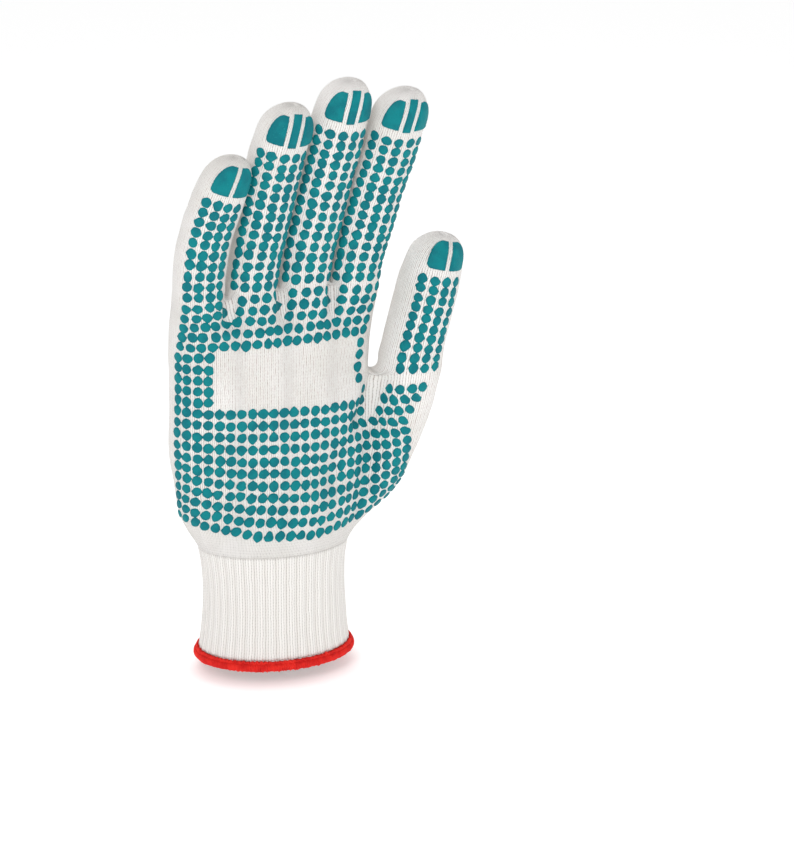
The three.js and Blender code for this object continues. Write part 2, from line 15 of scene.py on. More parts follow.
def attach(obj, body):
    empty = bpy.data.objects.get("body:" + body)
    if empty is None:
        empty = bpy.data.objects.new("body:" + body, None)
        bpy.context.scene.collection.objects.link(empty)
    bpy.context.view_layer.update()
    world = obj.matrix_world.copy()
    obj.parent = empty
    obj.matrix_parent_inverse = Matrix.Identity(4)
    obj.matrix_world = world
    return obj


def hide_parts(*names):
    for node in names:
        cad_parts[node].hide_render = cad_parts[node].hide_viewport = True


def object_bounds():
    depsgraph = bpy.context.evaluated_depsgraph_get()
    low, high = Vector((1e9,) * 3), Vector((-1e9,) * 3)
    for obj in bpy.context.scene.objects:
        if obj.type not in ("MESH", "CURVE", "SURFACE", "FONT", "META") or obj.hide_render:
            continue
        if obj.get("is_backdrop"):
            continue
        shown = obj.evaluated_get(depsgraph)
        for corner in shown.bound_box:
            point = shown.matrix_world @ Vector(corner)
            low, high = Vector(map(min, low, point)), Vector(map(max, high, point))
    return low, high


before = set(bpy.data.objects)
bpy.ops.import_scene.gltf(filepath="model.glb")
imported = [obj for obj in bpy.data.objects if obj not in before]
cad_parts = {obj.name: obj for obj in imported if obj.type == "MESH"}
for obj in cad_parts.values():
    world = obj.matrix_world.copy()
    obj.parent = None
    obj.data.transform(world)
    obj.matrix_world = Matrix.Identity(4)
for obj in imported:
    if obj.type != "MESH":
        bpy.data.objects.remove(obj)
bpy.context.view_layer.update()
MM = 0.001
print("nodes loaded:", len(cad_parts))


# %% Small helpers for operators
def deselect():
    """Leaves nothing selected, in object mode."""
    if bpy.context.object and bpy.context.object.mode != "OBJECT":
        bpy.ops.object.mode_set(mode="OBJECT")
    bpy.ops.object.select_all(action="DESELECT")


def pick(piece):
    """Makes one object the only selected and active one."""
    deselect()
    piece.select_set(True)
    bpy.context.view_layer.objects.active = piece
    return piece


def settle(piece, name):
    """Names a finished piece and puts its place into its mesh."""
    pick(piece)
    bpy.ops.object.transform_apply(location=True, rotation=True, scale=True)
    piece.name = name
    piece.data.name = name
    return piece


def modify(piece, kind, **values):
    """Adds a modifier, gives it its values and applies it."""
    pick(piece)
    modifier = piece.modifiers.new(kind.title(), kind)
    for key, value in values.items():
        setattr(modifier, key, value)
    bpy.ops.object.modifier_apply(modifier=modifier.name)
    return piece


def points_of(mesh):
    """All vertices of a mesh as rows of numbers."""
    values = np.empty(len(mesh.vertices) * 3)
    mesh.vertices.foreach_get("co", values)
    return values.reshape(-1, 3)


def put_points(mesh, rows):
    mesh.vertices.foreach_set("co", np.asarray(rows).ravel())
    mesh.update()


# %% [markdown]
# ## Sizes
# A glove machine knits in columns (wales) and rows (courses). These sizes are the ones that the solids were
# made with, in millimetres. Tables hold shares of them, one row for each section, so that the knit can be
# drawn ring by ring.

# %% Sizes of the glove
HEM_HEIGHT = 4.2
HEM_THICKNESS = 4.2
HEM_FLARE = 1.6
CUFF_LENGTH = 43
WRIST_WIDTH = 61
WRIST_DEPTH = 50
CUFF_WALL = 2.0
RIB_COUNT = 42
HAND_LENGTH = 109
PALM_WIDTH = 88
PALM_DEPTH = 35
KNIT_WALL = 1.5
WEB_WIDTH = 1.6
WEB_DIP = 1.6
THUMB_WEB_HEIGHT = 70
FINGER_DEPTH = 20
TIP_DOME = 10
THUMB_WIDTH = 26
THUMB_DEPTH = 25
GAP = 0.3
CUFF_BOTTOM = HEM_HEIGHT + GAP
HAND_BOTTOM = CUFF_BOTTOM + CUFF_LENGTH + GAP
WEB_LEVEL = HAND_BOTTOM + HAND_LENGTH
THUMB_WEB_LEVEL = HAND_BOTTOM + THUMB_WEB_HEIGHT
WALES_PER_EDGE = 2.5
SIDE_WALES = 3.5  # wales to an edge at the sides of the palm, where edges are longer
COURSE = 1.25

# %% Tables of the fingers and the hand
FINGERS = [
    dict(name="little", reach=58, root=0.245, root_up=-0.018, root_back=-0.17, swell=1.0, depth=0.93,
         lean=0.165, bow=-0.025, curl=0.27),
    dict(name="ring", reach=75.5, root=0.242, root_up=0, root_back=-0.15, swell=1.03, depth=1,
         lean=0.14, bow=0.014, curl=0.24),
    dict(name="middle", reach=82.5, root=0.24, root_up=0.01, root_back=-0.14, swell=1.06, depth=1.03,
         lean=0.15, bow=0.024, curl=0.25),
    dict(name="index", reach=78.5, root=0.235, root_up=-0.004, root_back=-0.15, swell=1.1, depth=1,
         lean=0.19, bow=0.03, curl=0.26),
]
THUMB = dict(name="thumb", reach=55, swell=0.93, lean=0.22, bow=0.03, curl=0.12)
THUMB_ROOT_RIGHT = 0.64
THUMB_ROOT_FORWARD = 0.3
FINGER_SECTIONS = [
    dict(along=0, width=1, depth=1, squareness=2.9, swell=0),
    dict(along=0.14, width=0.97, depth=0.98, squareness=2.6, swell=0.3),
    dict(along=0.32, width=1, depth=1.02, squareness=2.35, swell=0.9),
    dict(along=0.55, width=1, depth=0.98, squareness=2.3, swell=1),
    dict(along=0.78, width=1.02, depth=0.97, squareness=2.3, swell=1.1),
    dict(along=1, width=0.97, depth=0.9, squareness=2.3, swell=1.2),
]
HEEL_SECTIONS = [
    dict(up=0, thumb_side=0, little_side=0, depth=0),
    dict(up=0.09, thumb_side=0.17, little_side=0.3, depth=0.08),
    dict(up=0.2, thumb_side=0.41, little_side=0.66, depth=0.26),
    dict(up=0.34, thumb_side=0.62, little_side=0.88, depth=0.48),
    dict(up=0.54, thumb_side=0.77, little_side=1.02, depth=0.72),
    dict(up=0.78, thumb_side=0.9, little_side=1.03, depth=0.9),
    dict(up=1, thumb_side=1, little_side=1, depth=1),
]
PALM_SECTIONS = [
    dict(up=0, left=1, front=1.04, back=0.96, roots=0),
    dict(up=0.18, left=0.995, front=1.02, back=0.98, roots=0),
    dict(up=0.35, left=0.99, front=0.99, back=1, roots=0.04),
    dict(up=0.51, left=0.985, front=0.97, back=1, roots=0.13),
    dict(up=0.66, left=0.98, front=0.96, back=0.99, roots=0.33),
    dict(up=0.8, left=0.975, front=0.94, back=0.97, roots=0.6),
    dict(up=0.91, left=0.97, front=0.92, back=0.95, roots=0.84),
    dict(up=1, left=0.97, front=0.92, back=0.95, roots=1),
]
CUFF_SECTIONS = [
    dict(up=0, width=1.05, depth=1.03),
    dict(up=0.22, width=1.01, depth=1.0),
    dict(up=0.52, width=0.985, depth=0.98),
    dict(up=0.8, width=1.0, depth=0.985),
    dict(up=1, width=1.045, depth=1.0),
]
PALM_SQUARENESS = 2.7
PALM_CORNER = 0.9
INDEX_SIDE_RISE = 0.77
WEB_END_SHARE = 0.6
FRONT_SHARES = [-0.8, -0.4, 0, 0.4, 0.8]
SIDE_SHARES = [-0.5, 0, 0.5]


def row_at(table, key, value):
    """A table's row at any value of its first column, on a smooth curve through the rows."""
    keys = [row[key] for row in table]
    span = max(0, min(len(table) - 2, sum(value >= k for k in keys) - 1))
    share = (value - keys[span]) / (keys[span + 1] - keys[span])
    rows = [table[max(0, span - 1)], table[span], table[span + 1], table[min(len(table) - 1, span + 2)]]
    smooth = {}
    for name in table[0]:
        a, b, c, d = (row[name] for row in rows)
        ka, kb, kc, kd = (row[key] for row in rows)
        rise_b = (c - a) / (kc - ka) * (kc - kb)
        rise_c = (d - b) / (kd - kb) * (kc - kb)
        s2, s3 = share ** 2, share ** 3
        smooth[name] = ((2 * s3 - 3 * s2 + 1) * b + (s3 - 2 * s2 + share) * rise_b
                        + (3 * s2 - 2 * s3) * c + (s3 - s2) * rise_c)
    smooth[key] = value
    return smooth


print("finger reaches in mm:", [finger["reach"] for finger in FINGERS])

# %% [markdown]
# ## Rings of stitches
# Every part of the glove is a tube, so its form is a stack of rings. A finger's ring has sixteen points: five
# in front, three on each side and five at the back. The ring round the hand is made of the same columns, so
# each column of stitches runs on from the palm into its finger, as it does on the real glove.

# %% Rings
LEAN_POWER = 1.4
CURL_POWER = 1.7
ROOT_TURN = 0.25
RING_SHRINK = 0.975  # how far a smoothed ring of sixteen points draws in


def oval_height(share, squareness):
    return (1 - min(1, abs(share)) ** squareness) ** (1 / squareness)


def oval_ring(columns, half_width, front, back, squareness):
    """Points round an oval: the front from left to right, the right side, the back and the left side."""
    side = oval_height(FRONT_SHARES[4], squareness)
    heights = [share * side for share in SIDE_SHARES]
    sides = [(half_width * oval_height(y, squareness), y * (front if y < 0 else back)) for y in heights]
    front_row = [(s * half_width, -front * oval_height(s, squareness)) for s in columns]
    back_row = [(s * half_width, back * oval_height(s, squareness)) for s in columns]
    return front_row + sides + back_row[::-1] + [(-x, y) for x, y in sides[::-1]]


def place_roots():
    """Spreads the finger roots across the palm with a web between each two."""
    room = PALM_WIDTH - 3 * WEB_WIDTH
    shares = sum(finger["root"] for finger in FINGERS)
    left = -PALM_WIDTH / 2
    for finger in FINGERS:
        finger["half_width"] = finger["root"] / shares * room / 2
        finger["half_depth"] = finger["depth"] * FINGER_DEPTH / 2
        up = WEB_LEVEL + finger["root_up"] * HAND_LENGTH
        finger["base"] = Vector((left + finger["half_width"], finger["root_back"] * PALM_DEPTH, up))
        left += 2 * finger["half_width"] + WEB_WIDTH
    THUMB["half_width"] = THUMB_WIDTH / 2
    THUMB["half_depth"] = THUMB_DEPTH / 2
    forward = -THUMB_ROOT_FORWARD * PALM_DEPTH
    THUMB["base"] = Vector((THUMB_ROOT_RIGHT * PALM_WIDTH, forward, THUMB_WEB_LEVEL))


def finger_centre(finger, along):
    sideways = finger["lean"] * along ** LEAN_POWER + finger["bow"] * math.sin(math.pi * along)
    forward = finger["curl"] * along ** CURL_POWER
    return finger["base"] + Vector((sideways, -forward, along)) * finger["reach"]


def finger_ring(finger, along, half_width, half_depth, squareness):
    behind = finger_centre(finger, max(0, along - 0.02))
    ahead = (finger_centre(finger, along + 0.02) - behind).normalized()
    up = Vector((0, 0, 1)).lerp(ahead, min(1, along / ROOT_TURN)).normalized()
    right = (Vector((1, 0, 0)) - up * up.x).normalized()
    back = up.cross(right)
    centre = finger_centre(finger, along)
    swollen = half_width / RING_SHRINK
    deep = half_depth / RING_SHRINK
    return [centre + right * x + back * y for x, y in oval_ring(FRONT_SHARES, swollen, deep, deep, squareness)]


place_roots()
print("finger roots at x:", [round(finger["base"].x, 1) for finger in FINGERS])


# %% All rings of a finger
FINGER_STEP = 5.0  # between two rings, in millimetres
DOME_ANGLES = [18, 36, 53, 68, 80]
DOME_POWER = 0.8
TIP_GROWTH = 0.7  # what smoothing takes off a tip
TIP_SHIFT = 1.8  # how far a tip lies to the thumb side of its finger, in millimetres


def finger_rings(finger):
    """Rings from root to tip, and the point that closes them."""
    body = finger["reach"] - TIP_DOME
    steps = round(body / FINGER_STEP)
    rings = []
    for step in range(steps + 1):
        row = row_at(FINGER_SECTIONS, "along", step / steps)
        swollen = 1 + (finger["swell"] - 1) * row["swell"]
        width = finger["half_width"] * row["width"] * swollen
        depth = finger["half_depth"] * row["depth"]
        rings.append(finger_ring(finger, step / steps * body / finger["reach"], width, depth, row["squareness"]))
    dome = (TIP_DOME + TIP_GROWTH) / finger["reach"]
    start = body / finger["reach"]
    for degrees in DOME_ANGLES:
        angle = math.radians(degrees)
        narrow = math.cos(angle) ** DOME_POWER
        along = start + dome * math.sin(angle)
        aside = Vector((TIP_SHIFT * math.sin(angle) ** 2, 0, 0))
        ring = finger_ring(finger, along, width * narrow, depth * narrow, row["squareness"])
        rings.append([point + aside for point in ring])
    return rings, finger_centre(finger, start + dome) + Vector((TIP_SHIFT, 0, 0))


def right_side(loop):
    return [loop[k] for k in (4, 5, 6, 7, 8)]


def left_side(loop):
    return [loop[k] for k in (0, 15, 14, 13, 12)]


def web_line(side_a, side_b):
    """The middle of a web, dipped between two roots."""
    line = [a.lerp(b, 0.5) for a, b in zip(side_a, side_b)]
    for k, point in enumerate(line):
        point.z -= WEB_DIP
        point.y *= WEB_END_SHARE if k in (0, 4) else 1
    return line


def join_roots(loops, webs):
    """Runs the finger loops and the ends of the webs into one ring."""
    front, back = [], []
    for k, loop in enumerate(loops):
        front += loop[0:5]
        back = loop[8:13] + back
        if k < len(webs):
            front.append(webs[k][0])
            back = [webs[k][4]] + back
    return front + loops[-1][5:8] + back + loops[0][13:16]


FRONT_COUNT = 23
HAND_RIGHT = [FRONT_COUNT + step for step in (-1, 0, 1, 2, 3)]


def root_loops():
    first = FINGER_SECTIONS[0]
    loops = [finger_ring(f, 0, f["half_width"], f["half_depth"], first["squareness"]) for f in FINGERS]
    webs = [web_line(right_side(a), left_side(b)) for a, b in zip(loops, loops[1:])]
    return loops, webs


ROOT_LOOPS, ROOT_WEBS = root_loops()
ROOT_RING = join_roots(ROOT_LOOPS, ROOT_WEBS)
PALM_COLUMNS = [point.x / ROOT_RING[FRONT_COUNT - 1].x * PALM_CORNER for point in ROOT_RING[:FRONT_COUNT]]


def palm_ring(up):
    """A ring round the palm, between the thumb web at 0 and the finger roots at 1."""
    row = row_at(PALM_SECTIONS, "up", up)
    at_web = THUMB["base"].x - THUMB["half_width"] - WEB_WIDTH
    right_edge = at_web + (PALM_WIDTH / 2 - at_web) * min(1, up / INDEX_SIDE_RISE)
    left_edge = -row["left"] * PALM_WIDTH / 2
    half_width = (right_edge - left_edge) / 2
    middle = (right_edge + left_edge) / 2
    front = row["front"] * PALM_DEPTH / 2
    back = row["back"] * PALM_DEPTH / 2
    ring = []
    for (x, y), root in zip(oval_ring(PALM_COLUMNS, half_width, front, back, PALM_SQUARENESS), ROOT_RING):
        height = THUMB_WEB_LEVEL + (root.z - THUMB_WEB_LEVEL) * up
        plain = Vector((middle + x, y, height))
        ring.append(plain.lerp(Vector((root.x, root.y, height)), max(0, min(1, row["roots"]))))
    return ring


def wrist_oval(wales, row, height):
    """A ring at the wrist with its points spread by wales, the little finger's side at its middle."""
    ring = []
    for wale in wales[:-1]:
        angle = math.pi + (wale + SIDE_WALES * 2) * 2 * math.pi / wales[-1]
        x = row["width"] * WRIST_WIDTH / 2 * math.cos(angle)
        ring.append(Vector((x, row["depth"] * WRIST_DEPTH / 2 * math.sin(angle), height)))
    return ring


def heel_ring(up, wrist, around_thumb):
    row = row_at(HEEL_SECTIONS, "up", up)
    ring = []
    for start, end in zip(wrist, around_thumb):
        across = (start.x / (WRIST_WIDTH / 2) + 1) / 2
        spread = row["little_side"] + (row["thumb_side"] - row["little_side"]) * across
        x = start.x + (end.x - start.x) * spread
        y = start.y + (end.y - start.y) * row["depth"]
        ring.append(Vector((x, y, HAND_BOTTOM + (end.z - HAND_BOTTOM) * up)))
    return ring


print("columns across the palm:", len(PALM_COLUMNS))

# %% [markdown]
# ## The knitted skin
# The hand branches five times, which no primitive does, so this one piece is drawn directly as a net of
# four-sided faces between the rings. Two levels of Subdivision Surface then round it. Each face corner gets a
# UV that counts wales and courses: the knit pattern, the dots and the pads are all placed by it.

# %% The net of the skin
REGION = 1000  # wales between two regions of the UV map, a whole number so that the knit runs on
HEEL_ROWS = 13
PALM_ROWS = 8
AROUND_THUMB = 16  # edges round the thumb, webs included


def count_wales(edges):
    """Running count of wales round a ring."""
    return [0] + list(np.cumsum(edges))


row_of_fingers = [WALES_PER_EDGE] * (FRONT_COUNT - 1)
little_side = [SIDE_WALES] * 4
PALM_WALES = count_wales(row_of_fingers + [SIDE_WALES] * 4 + row_of_fingers + little_side)
HEEL_WALES = count_wales(row_of_fingers + [WALES_PER_EDGE] * AROUND_THUMB + row_of_fingers + little_side)
FINGER_WALES = count_wales([WALES_PER_EDGE] * 16)


class Net:
    """Points and faces, with a UV in wales and courses at each face corner."""

    def __init__(self):
        self.points, self.faces, self.uvs = [], [], []

    def ring(self, points):
        first = len(self.points)
        self.points += points
        return list(range(first, len(self.points)))

    def bridge(self, lower, upper, region, wales, course, next_course):
        count = len(lower)
        for k in range(count):
            n = (k + 1) % count
            self.faces.append((lower[k], lower[n], upper[n], upper[k]))
            u, w = region * REGION + wales[k], region * REGION + wales[k + 1]
            self.uvs += [(u, course), (w, course), (w, next_course), (u, next_course)]

    def strip(self, row, next_row, region, shift):
        for k in range(len(row) - 1):
            self.faces.append((row[k], next_row[k], next_row[k + 1], row[k + 1]))
            u, w = region * REGION + k * WALES_PER_EDGE, region * REGION + (k + 1) * WALES_PER_EDGE
            self.uvs += [(u, shift), (u, shift + 1), (w, shift + 1), (w, shift)]

    def close(self, ring, tip, region, course):
        top = self.ring([tip])[0]
        count = len(ring)
        for k in range(count):
            self.faces.append((ring[k], ring[(k + 1) % count], top))
            u = region * REGION + k * WALES_PER_EDGE
            self.uvs += [(u, course), (u + WALES_PER_EDGE, course), (u + WALES_PER_EDGE / 2, course + 1)]


def courses_between(lower, upper):
    """How many courses lie between two rings, by their mean distance."""
    return sum((a - b).length for a, b in zip(lower, upper)) / len(lower) / COURSE


net = Net()
palm_start = palm_ring(0)
thumb_loop = finger_ring(THUMB, 0, THUMB["half_width"], THUMB["half_depth"], FINGER_SECTIONS[0]["squareness"])
thumb_web = web_line([palm_start[k] for k in HAND_RIGHT], left_side(thumb_loop))
palm_ids, thumb_ids, thumb_web_ids = net.ring(palm_start), net.ring(thumb_loop), net.ring(thumb_web)
net.strip([palm_ids[k] for k in HAND_RIGHT], thumb_web_ids, 6, 0)
net.strip(thumb_web_ids, left_side(thumb_ids), 6, 1)


def join_thumb(palm, web, thumb):
    return palm[:FRONT_COUNT] + [web[0]] + thumb[:13] + [web[4]] + palm[FRONT_COUNT + 3:]


around_thumb = join_thumb(palm_start, thumb_web, thumb_loop)
around_ids = join_thumb(palm_ids, thumb_web_ids, thumb_ids)
wrist_ring = wrist_oval(HEEL_WALES, CUFF_SECTIONS[-1], HAND_BOTTOM)
heel_rings = [heel_ring(k / HEEL_ROWS, wrist_ring, around_thumb) for k in range(HEEL_ROWS)] + [around_thumb]
heel_ids = [net.ring(ring) for ring in heel_rings[:-1]] + [around_ids]
course = 0
for k in range(HEEL_ROWS):
    rise = courses_between(heel_rings[k], heel_rings[k + 1])
    net.bridge(heel_ids[k], heel_ids[k + 1], 0, HEEL_WALES, course, course + rise)
    course += rise
THUMB_COURSE = course
palm_rings = [palm_ring(k / PALM_ROWS) for k in range(PALM_ROWS)] + [ROOT_RING]
loop_ids = [net.ring(loop) for loop in ROOT_LOOPS]
web_ids = [net.ring(web) for web in ROOT_WEBS]
palm_row_ids = [palm_ids] + [net.ring(ring) for ring in palm_rings[1:-1]] + [join_roots(loop_ids, web_ids)]
for k in range(PALM_ROWS):
    rise = courses_between(palm_rings[k], palm_rings[k + 1])
    net.bridge(palm_row_ids[k], palm_row_ids[k + 1], 0, PALM_WALES, course, course + rise)
    course += rise
ROOT_COURSE = course
for k, web in enumerate(web_ids):
    net.strip(right_side(loop_ids[k]), web, 6, 0)
    net.strip(web, left_side(loop_ids[k + 1]), 6, 1)

TIP_COURSE = {}
for region, (finger, ids) in enumerate(zip(FINGERS + [THUMB], loop_ids + [thumb_ids]), start=1):
    rings, tip = finger_rings(finger)
    course = ROOT_COURSE if finger is not THUMB else THUMB_COURSE
    for k in range(1, len(rings)):
        upper = net.ring(rings[k])
        rise = courses_between(rings[k - 1], rings[k])
        net.bridge(ids, upper, region, FINGER_WALES, course, course + rise)
        ids, course = upper, course + rise
    net.close(ids, tip, region, course)
    TIP_COURSE[finger["name"]] = course + 1
    finger["region"] = region

mesh = bpy.data.meshes.new("glove_knit")
mesh.from_pydata([point * MM for point in net.points], [], net.faces)
mesh.uv_layers.new(name="stitches").data.foreach_set("uv", np.array(net.uvs).ravel())
skin = bpy.data.objects.new("glove_knit", mesh)
bpy.context.collection.objects.link(skin)
mesh.validate()
print("net of the skin:", len(mesh.vertices), "points,", len(mesh.polygons), "faces")

# %% Round the skin
modify(skin, "SUBSURF", levels=2, render_levels=2, uv_smooth="NONE")
print("smooth skin:", len(skin.data.polygons), "faces")

# %% [markdown]
# Knit gives way where a hand has worn it: creases run down from the crotches of the fingers on the back, a long
# one runs from the thumb's web, and soft hollows lie across the palm. Each crease is a short line on the skin,
# pressed in by a smooth amount. The stretch of the stitches is kept with the points, for the knit's holes.

# %% Creases and hollows
RIB_RELIEF = 0.5  # of the cuff
TUCK_DOWN = 1.0  # the hand's edge dips into the cuff's top rows
TUCK_IN = 0.45
RIB_FADE = 12  # how far its ribs run up onto the heel of the hand
# face is -1 for the palm and 1 for the back; x, z are the two ends, wide and deep in millimetres.
CREASES = [
    dict(face=1, x0=22.3, z0=156, x1=20.5, z1=143, wide=2.6, deep=2.4),
    dict(face=1, x0=20.5, z0=143, x1=9, z1=131, wide=2.4, deep=1.3),
    dict(face=1, x0=-0.4, z0=156, x1=-1.5, z1=144, wide=2.6, deep=2.4),
    dict(face=1, x0=-1.5, z0=144, x1=-12, z1=132, wide=2.4, deep=1.3),
    dict(face=1, x0=-23, z0=154, x1=-24, z1=144, wide=2.6, deep=2.2),
    dict(face=1, x0=-24, z0=144, x1=-32, z1=135, wide=2.4, deep=1.2),
    dict(face=1, x0=43, z0=119, x1=31, z1=101, wide=3.2, deep=2.6),
    dict(face=1, x0=31, z0=101, x1=25, z1=84, wide=4, deep=1.2),
    dict(face=1, x0=-4, z0=70, x1=2, z1=92, wide=5, deep=0.8),
    dict(face=-1, x0=43, z0=117, x1=33, z1=98, wide=3.4, deep=2.2),
    dict(face=-1, x0=33, z0=98, x1=20, z1=76, wide=5, deep=1.3),
    dict(face=-1, x0=-34, z0=146, x1=30, z1=141, wide=4, deep=1.2),
    dict(face=-1, x0=22.3, z0=156, x1=21.5, z1=147, wide=2.6, deep=1.8),
    dict(face=-1, x0=-0.4, z0=156, x1=-0.8, z1=147, wide=2.6, deep=1.8),
    dict(face=-1, x0=-23, z0=154, x1=-23.5, z1=146, wide=2.6, deep=1.8),
    dict(face=-1, x0=8, z0=128, x1=30, z1=122, wide=6, deep=1.2),
    dict(face=-1, x0=-12, z0=64, x1=-8, z1=92, wide=5, deep=0.8),
    dict(face=-1, x0=12, z0=60, x1=16, z1=84, wide=5, deep=0.9),
]


def press_creases(rows, normals):
    """Moves points inwards along the creases. All in millimetres."""
    inward = np.zeros(len(rows))
    for crease in CREASES:
        start = np.array([crease["x0"], crease["z0"]])
        way = np.array([crease["x1"], crease["z1"]]) - start
        flat = rows[:, [0, 2]] - start
        along = np.clip(flat @ way / (way @ way), 0, 1)
        far = np.linalg.norm(flat - along[:, None] * way, axis=1)
        facing = np.clip(normals[:, 1] * crease["face"] * 1.6, 0, 1)
        inward += crease["deep"] * np.exp(-(far / crease["wide"]) ** 2) * facing
    return rows - normals * inward[:, None]


def bumpiness(rows):
    """Slow unevenness of a laid glove, in millimetres, from two sizes of noise."""
    return np.array([noise.noise(Vector(row) * 0.045) * 0.9 + noise.noise(Vector(row) * 0.13) * 0.22 for row in rows])


def normals_of(mesh):
    values = np.empty(len(mesh.vertices) * 3)
    mesh.vertex_normals.foreach_get("vector", values)
    return values.reshape(-1, 3)


rows = points_of(skin.data) / MM
fade = np.clip((rows[:, 2] - HAND_BOTTOM) / 12, 0, 1)
rows = rows + (press_creases(rows, normals_of(skin.data)) - rows) * fade[:, None]
rows = rows + normals_of(skin.data) * (bumpiness(rows) * fade)[:, None]
low_share = np.clip(1 - (rows[:, 2] - HAND_BOTTOM) / RIB_FADE, 0, 1)
turns = np.arctan2(rows[:, 1] / WRIST_DEPTH, rows[:, 0] / WRIST_WIDTH)
waves = (0.5 + 0.5 * np.cos(turns * RIB_COUNT)) ** 0.7 - 1
outward = np.column_stack([np.cos(turns), np.sin(turns), np.zeros(len(rows))])
rows = rows + outward * (waves * RIB_RELIEF * 0.55 * low_share ** 1.5)[:, None]
edge = rows[:, 2] < HAND_BOTTOM + 0.2
rows[edge] += np.array([0, 0, -TUCK_DOWN]) - outward[edge] * TUCK_IN
put_points(skin.data, rows * MM)
print("creases pressed in:", len(CREASES))

# %% [markdown]
# ## A map from stitches to places
# Dots and pads are printed on the knit, so they follow it. A search tree over the UV faces finds the face under
# any wale and course, and from it the place, the outward normal and the way that the wales run.


# %% Build the map
class KnitMap:
    """Finds the place on the skin for a wale and a course."""

    def __init__(self, mesh):
        mesh.calc_loop_triangles()
        uvs = np.empty(len(mesh.loops) * 2)
        mesh.uv_layers["stitches"].data.foreach_get("uv", uvs)
        uvs = uvs.reshape(-1, 2)
        corners = np.empty(len(mesh.loops), dtype=np.int64)
        mesh.loops.foreach_get("vertex_index", corners)
        triangles = np.empty(len(mesh.loop_triangles) * 3, dtype=np.int64)
        mesh.loop_triangles.foreach_get("loops", triangles)
        flat = [Vector((u, v, 0)) for u, v in uvs]
        self.loops = triangles.reshape(-1, 3)
        self.tree = BVHTree.FromPolygons(flat, self.loops.tolist(), all_triangles=True)
        self.uvs = uvs
        self.places = points_of(mesh)[corners]
        self.normals = normals_of(mesh)[corners]

    def shares(self, triangle, u, v):
        (au, av), (bu, bv), (cu, cv) = self.uvs[self.loops[triangle]]
        area = (bu - au) * (cv - av) - (cu - au) * (bv - av)
        b = ((u - au) * (cv - av) - (cu - au) * (v - av)) / area
        c = ((bu - au) * (v - av) - (u - au) * (bv - av)) / area
        return np.array([1 - b - c, b, c])

    def at(self, u, v):
        """Place and outward normal, in metres."""
        near, _, triangle, _ = self.tree.find_nearest(Vector((u, v, 0)))
        share = self.shares(triangle, near.x, near.y)
        place = share @ self.places[self.loops[triangle]]
        normal = share @ self.normals[self.loops[triangle]]
        return place, normal / np.linalg.norm(normal)


knit_map = KnitMap(skin.data)


def hand_spot(wale, course):
    """Place and normal on the hand, where wales start again after a full round."""
    around = PALM_WALES[-1] if course > THUMB_COURSE else HEEL_WALES[-1]
    return knit_map.at(wale % around, course)


place, normal = knit_map.at(11 * WALES_PER_EDGE, ROOT_COURSE - 30)
print("middle of the palm at", np.round(place / MM, 1), "facing", np.round(normal, 2))


# %% Where a fingertip's print goes
FRONT_MIDDLE = 2 * WALES_PER_EDGE


def round_finger(wale):
    """Wales counted round a finger start again after sixteen edges."""
    return wale % (16 * WALES_PER_EDGE)


class FingerChart:
    """Finds places on one finger from millimetres across its front and down from its tip."""

    def __init__(self, finger):
        self.base = finger["region"] * REGION
        first = ROOT_COURSE if finger is not THUMB else THUMB_COURSE
        self.courses = np.linspace(TIP_COURSE[finger["name"]] - 0.1, first, 120)
        self.wales = np.arange(-10, 23.1, 1.0)
        down = np.array([self.place(FRONT_MIDDLE, course)[0] for course in self.courses])
        self.down = np.concatenate([[0], np.cumsum(np.linalg.norm(np.diff(down, axis=0), axis=1))]) / MM
        self.across = []
        for course in self.courses:
            line = np.array([self.place(wale, course)[0] for wale in self.wales])
            run = np.concatenate([[0], np.cumsum(np.linalg.norm(np.diff(line, axis=0), axis=1))]) / MM
            self.across.append(run - np.interp(FRONT_MIDDLE, self.wales, run))
        self.across = np.array(self.across)

    def place(self, wale, course):
        return knit_map.at(self.base + round_finger(wale), course)

    def at(self, x, down, lift=0.0):
        """The point x to the right of the front's middle and so far below the tip, in metres."""
        spot = np.interp(down, self.down, np.arange(len(self.down)))
        low = min(int(spot), len(self.courses) - 2)
        share = spot - low
        course = self.courses[low] + (self.courses[low + 1] - self.courses[low]) * share
        run = self.across[low] + (self.across[low + 1] - self.across[low]) * share
        place, normal = self.place(np.interp(x, run, self.wales), course)
        return place + normal * lift * MM


charts = {finger["name"]: FingerChart(finger) for finger in FINGERS + [THUMB]}
print("front lengths in mm:", {name: round(chart.down[-1], 1) for name, chart in charts.items()})

# %% [markdown]
# ## The printed dots
# A dot is a low round drop of PVC, a little sunk into the stitches. One is modelled from a circle that is
# inset and raised twice. Every copy has its own ragged rim, because the paste runs along the yarns, and every
# one of its points is laid on the knit, so that it bends with the finger.

# %% Model one dot
DOT_RADIUS = 2.18
DOT_HEIGHT = 0.5
DOT_SINK = 0.35
DOT_SIDES = 24

deselect()
bpy.ops.mesh.primitive_circle_add(vertices=DOT_SIDES, radius=1, fill_type="NGON")
dot = bpy.context.object
bpy.ops.object.mode_set(mode="EDIT")
bpy.ops.mesh.inset(thickness=0.07, depth=0.62)
bpy.ops.mesh.inset(thickness=0.16, depth=0.3)
bpy.ops.mesh.inset(thickness=0.3, depth=0.08)
bpy.ops.mesh.poke()
bpy.ops.object.mode_set(mode="OBJECT")
DOT_POINTS = points_of(dot.data)
DOT_FACES = [tuple(face.vertices) for face in dot.data.polygons]
bpy.data.objects.remove(dot, do_unlink=True)
print("one dot:", len(DOT_POINTS), "points, top at", round(float(DOT_POINTS[:, 2].max()), 2))


# %% Lay dots on the knit
rng = np.random.default_rng(7)


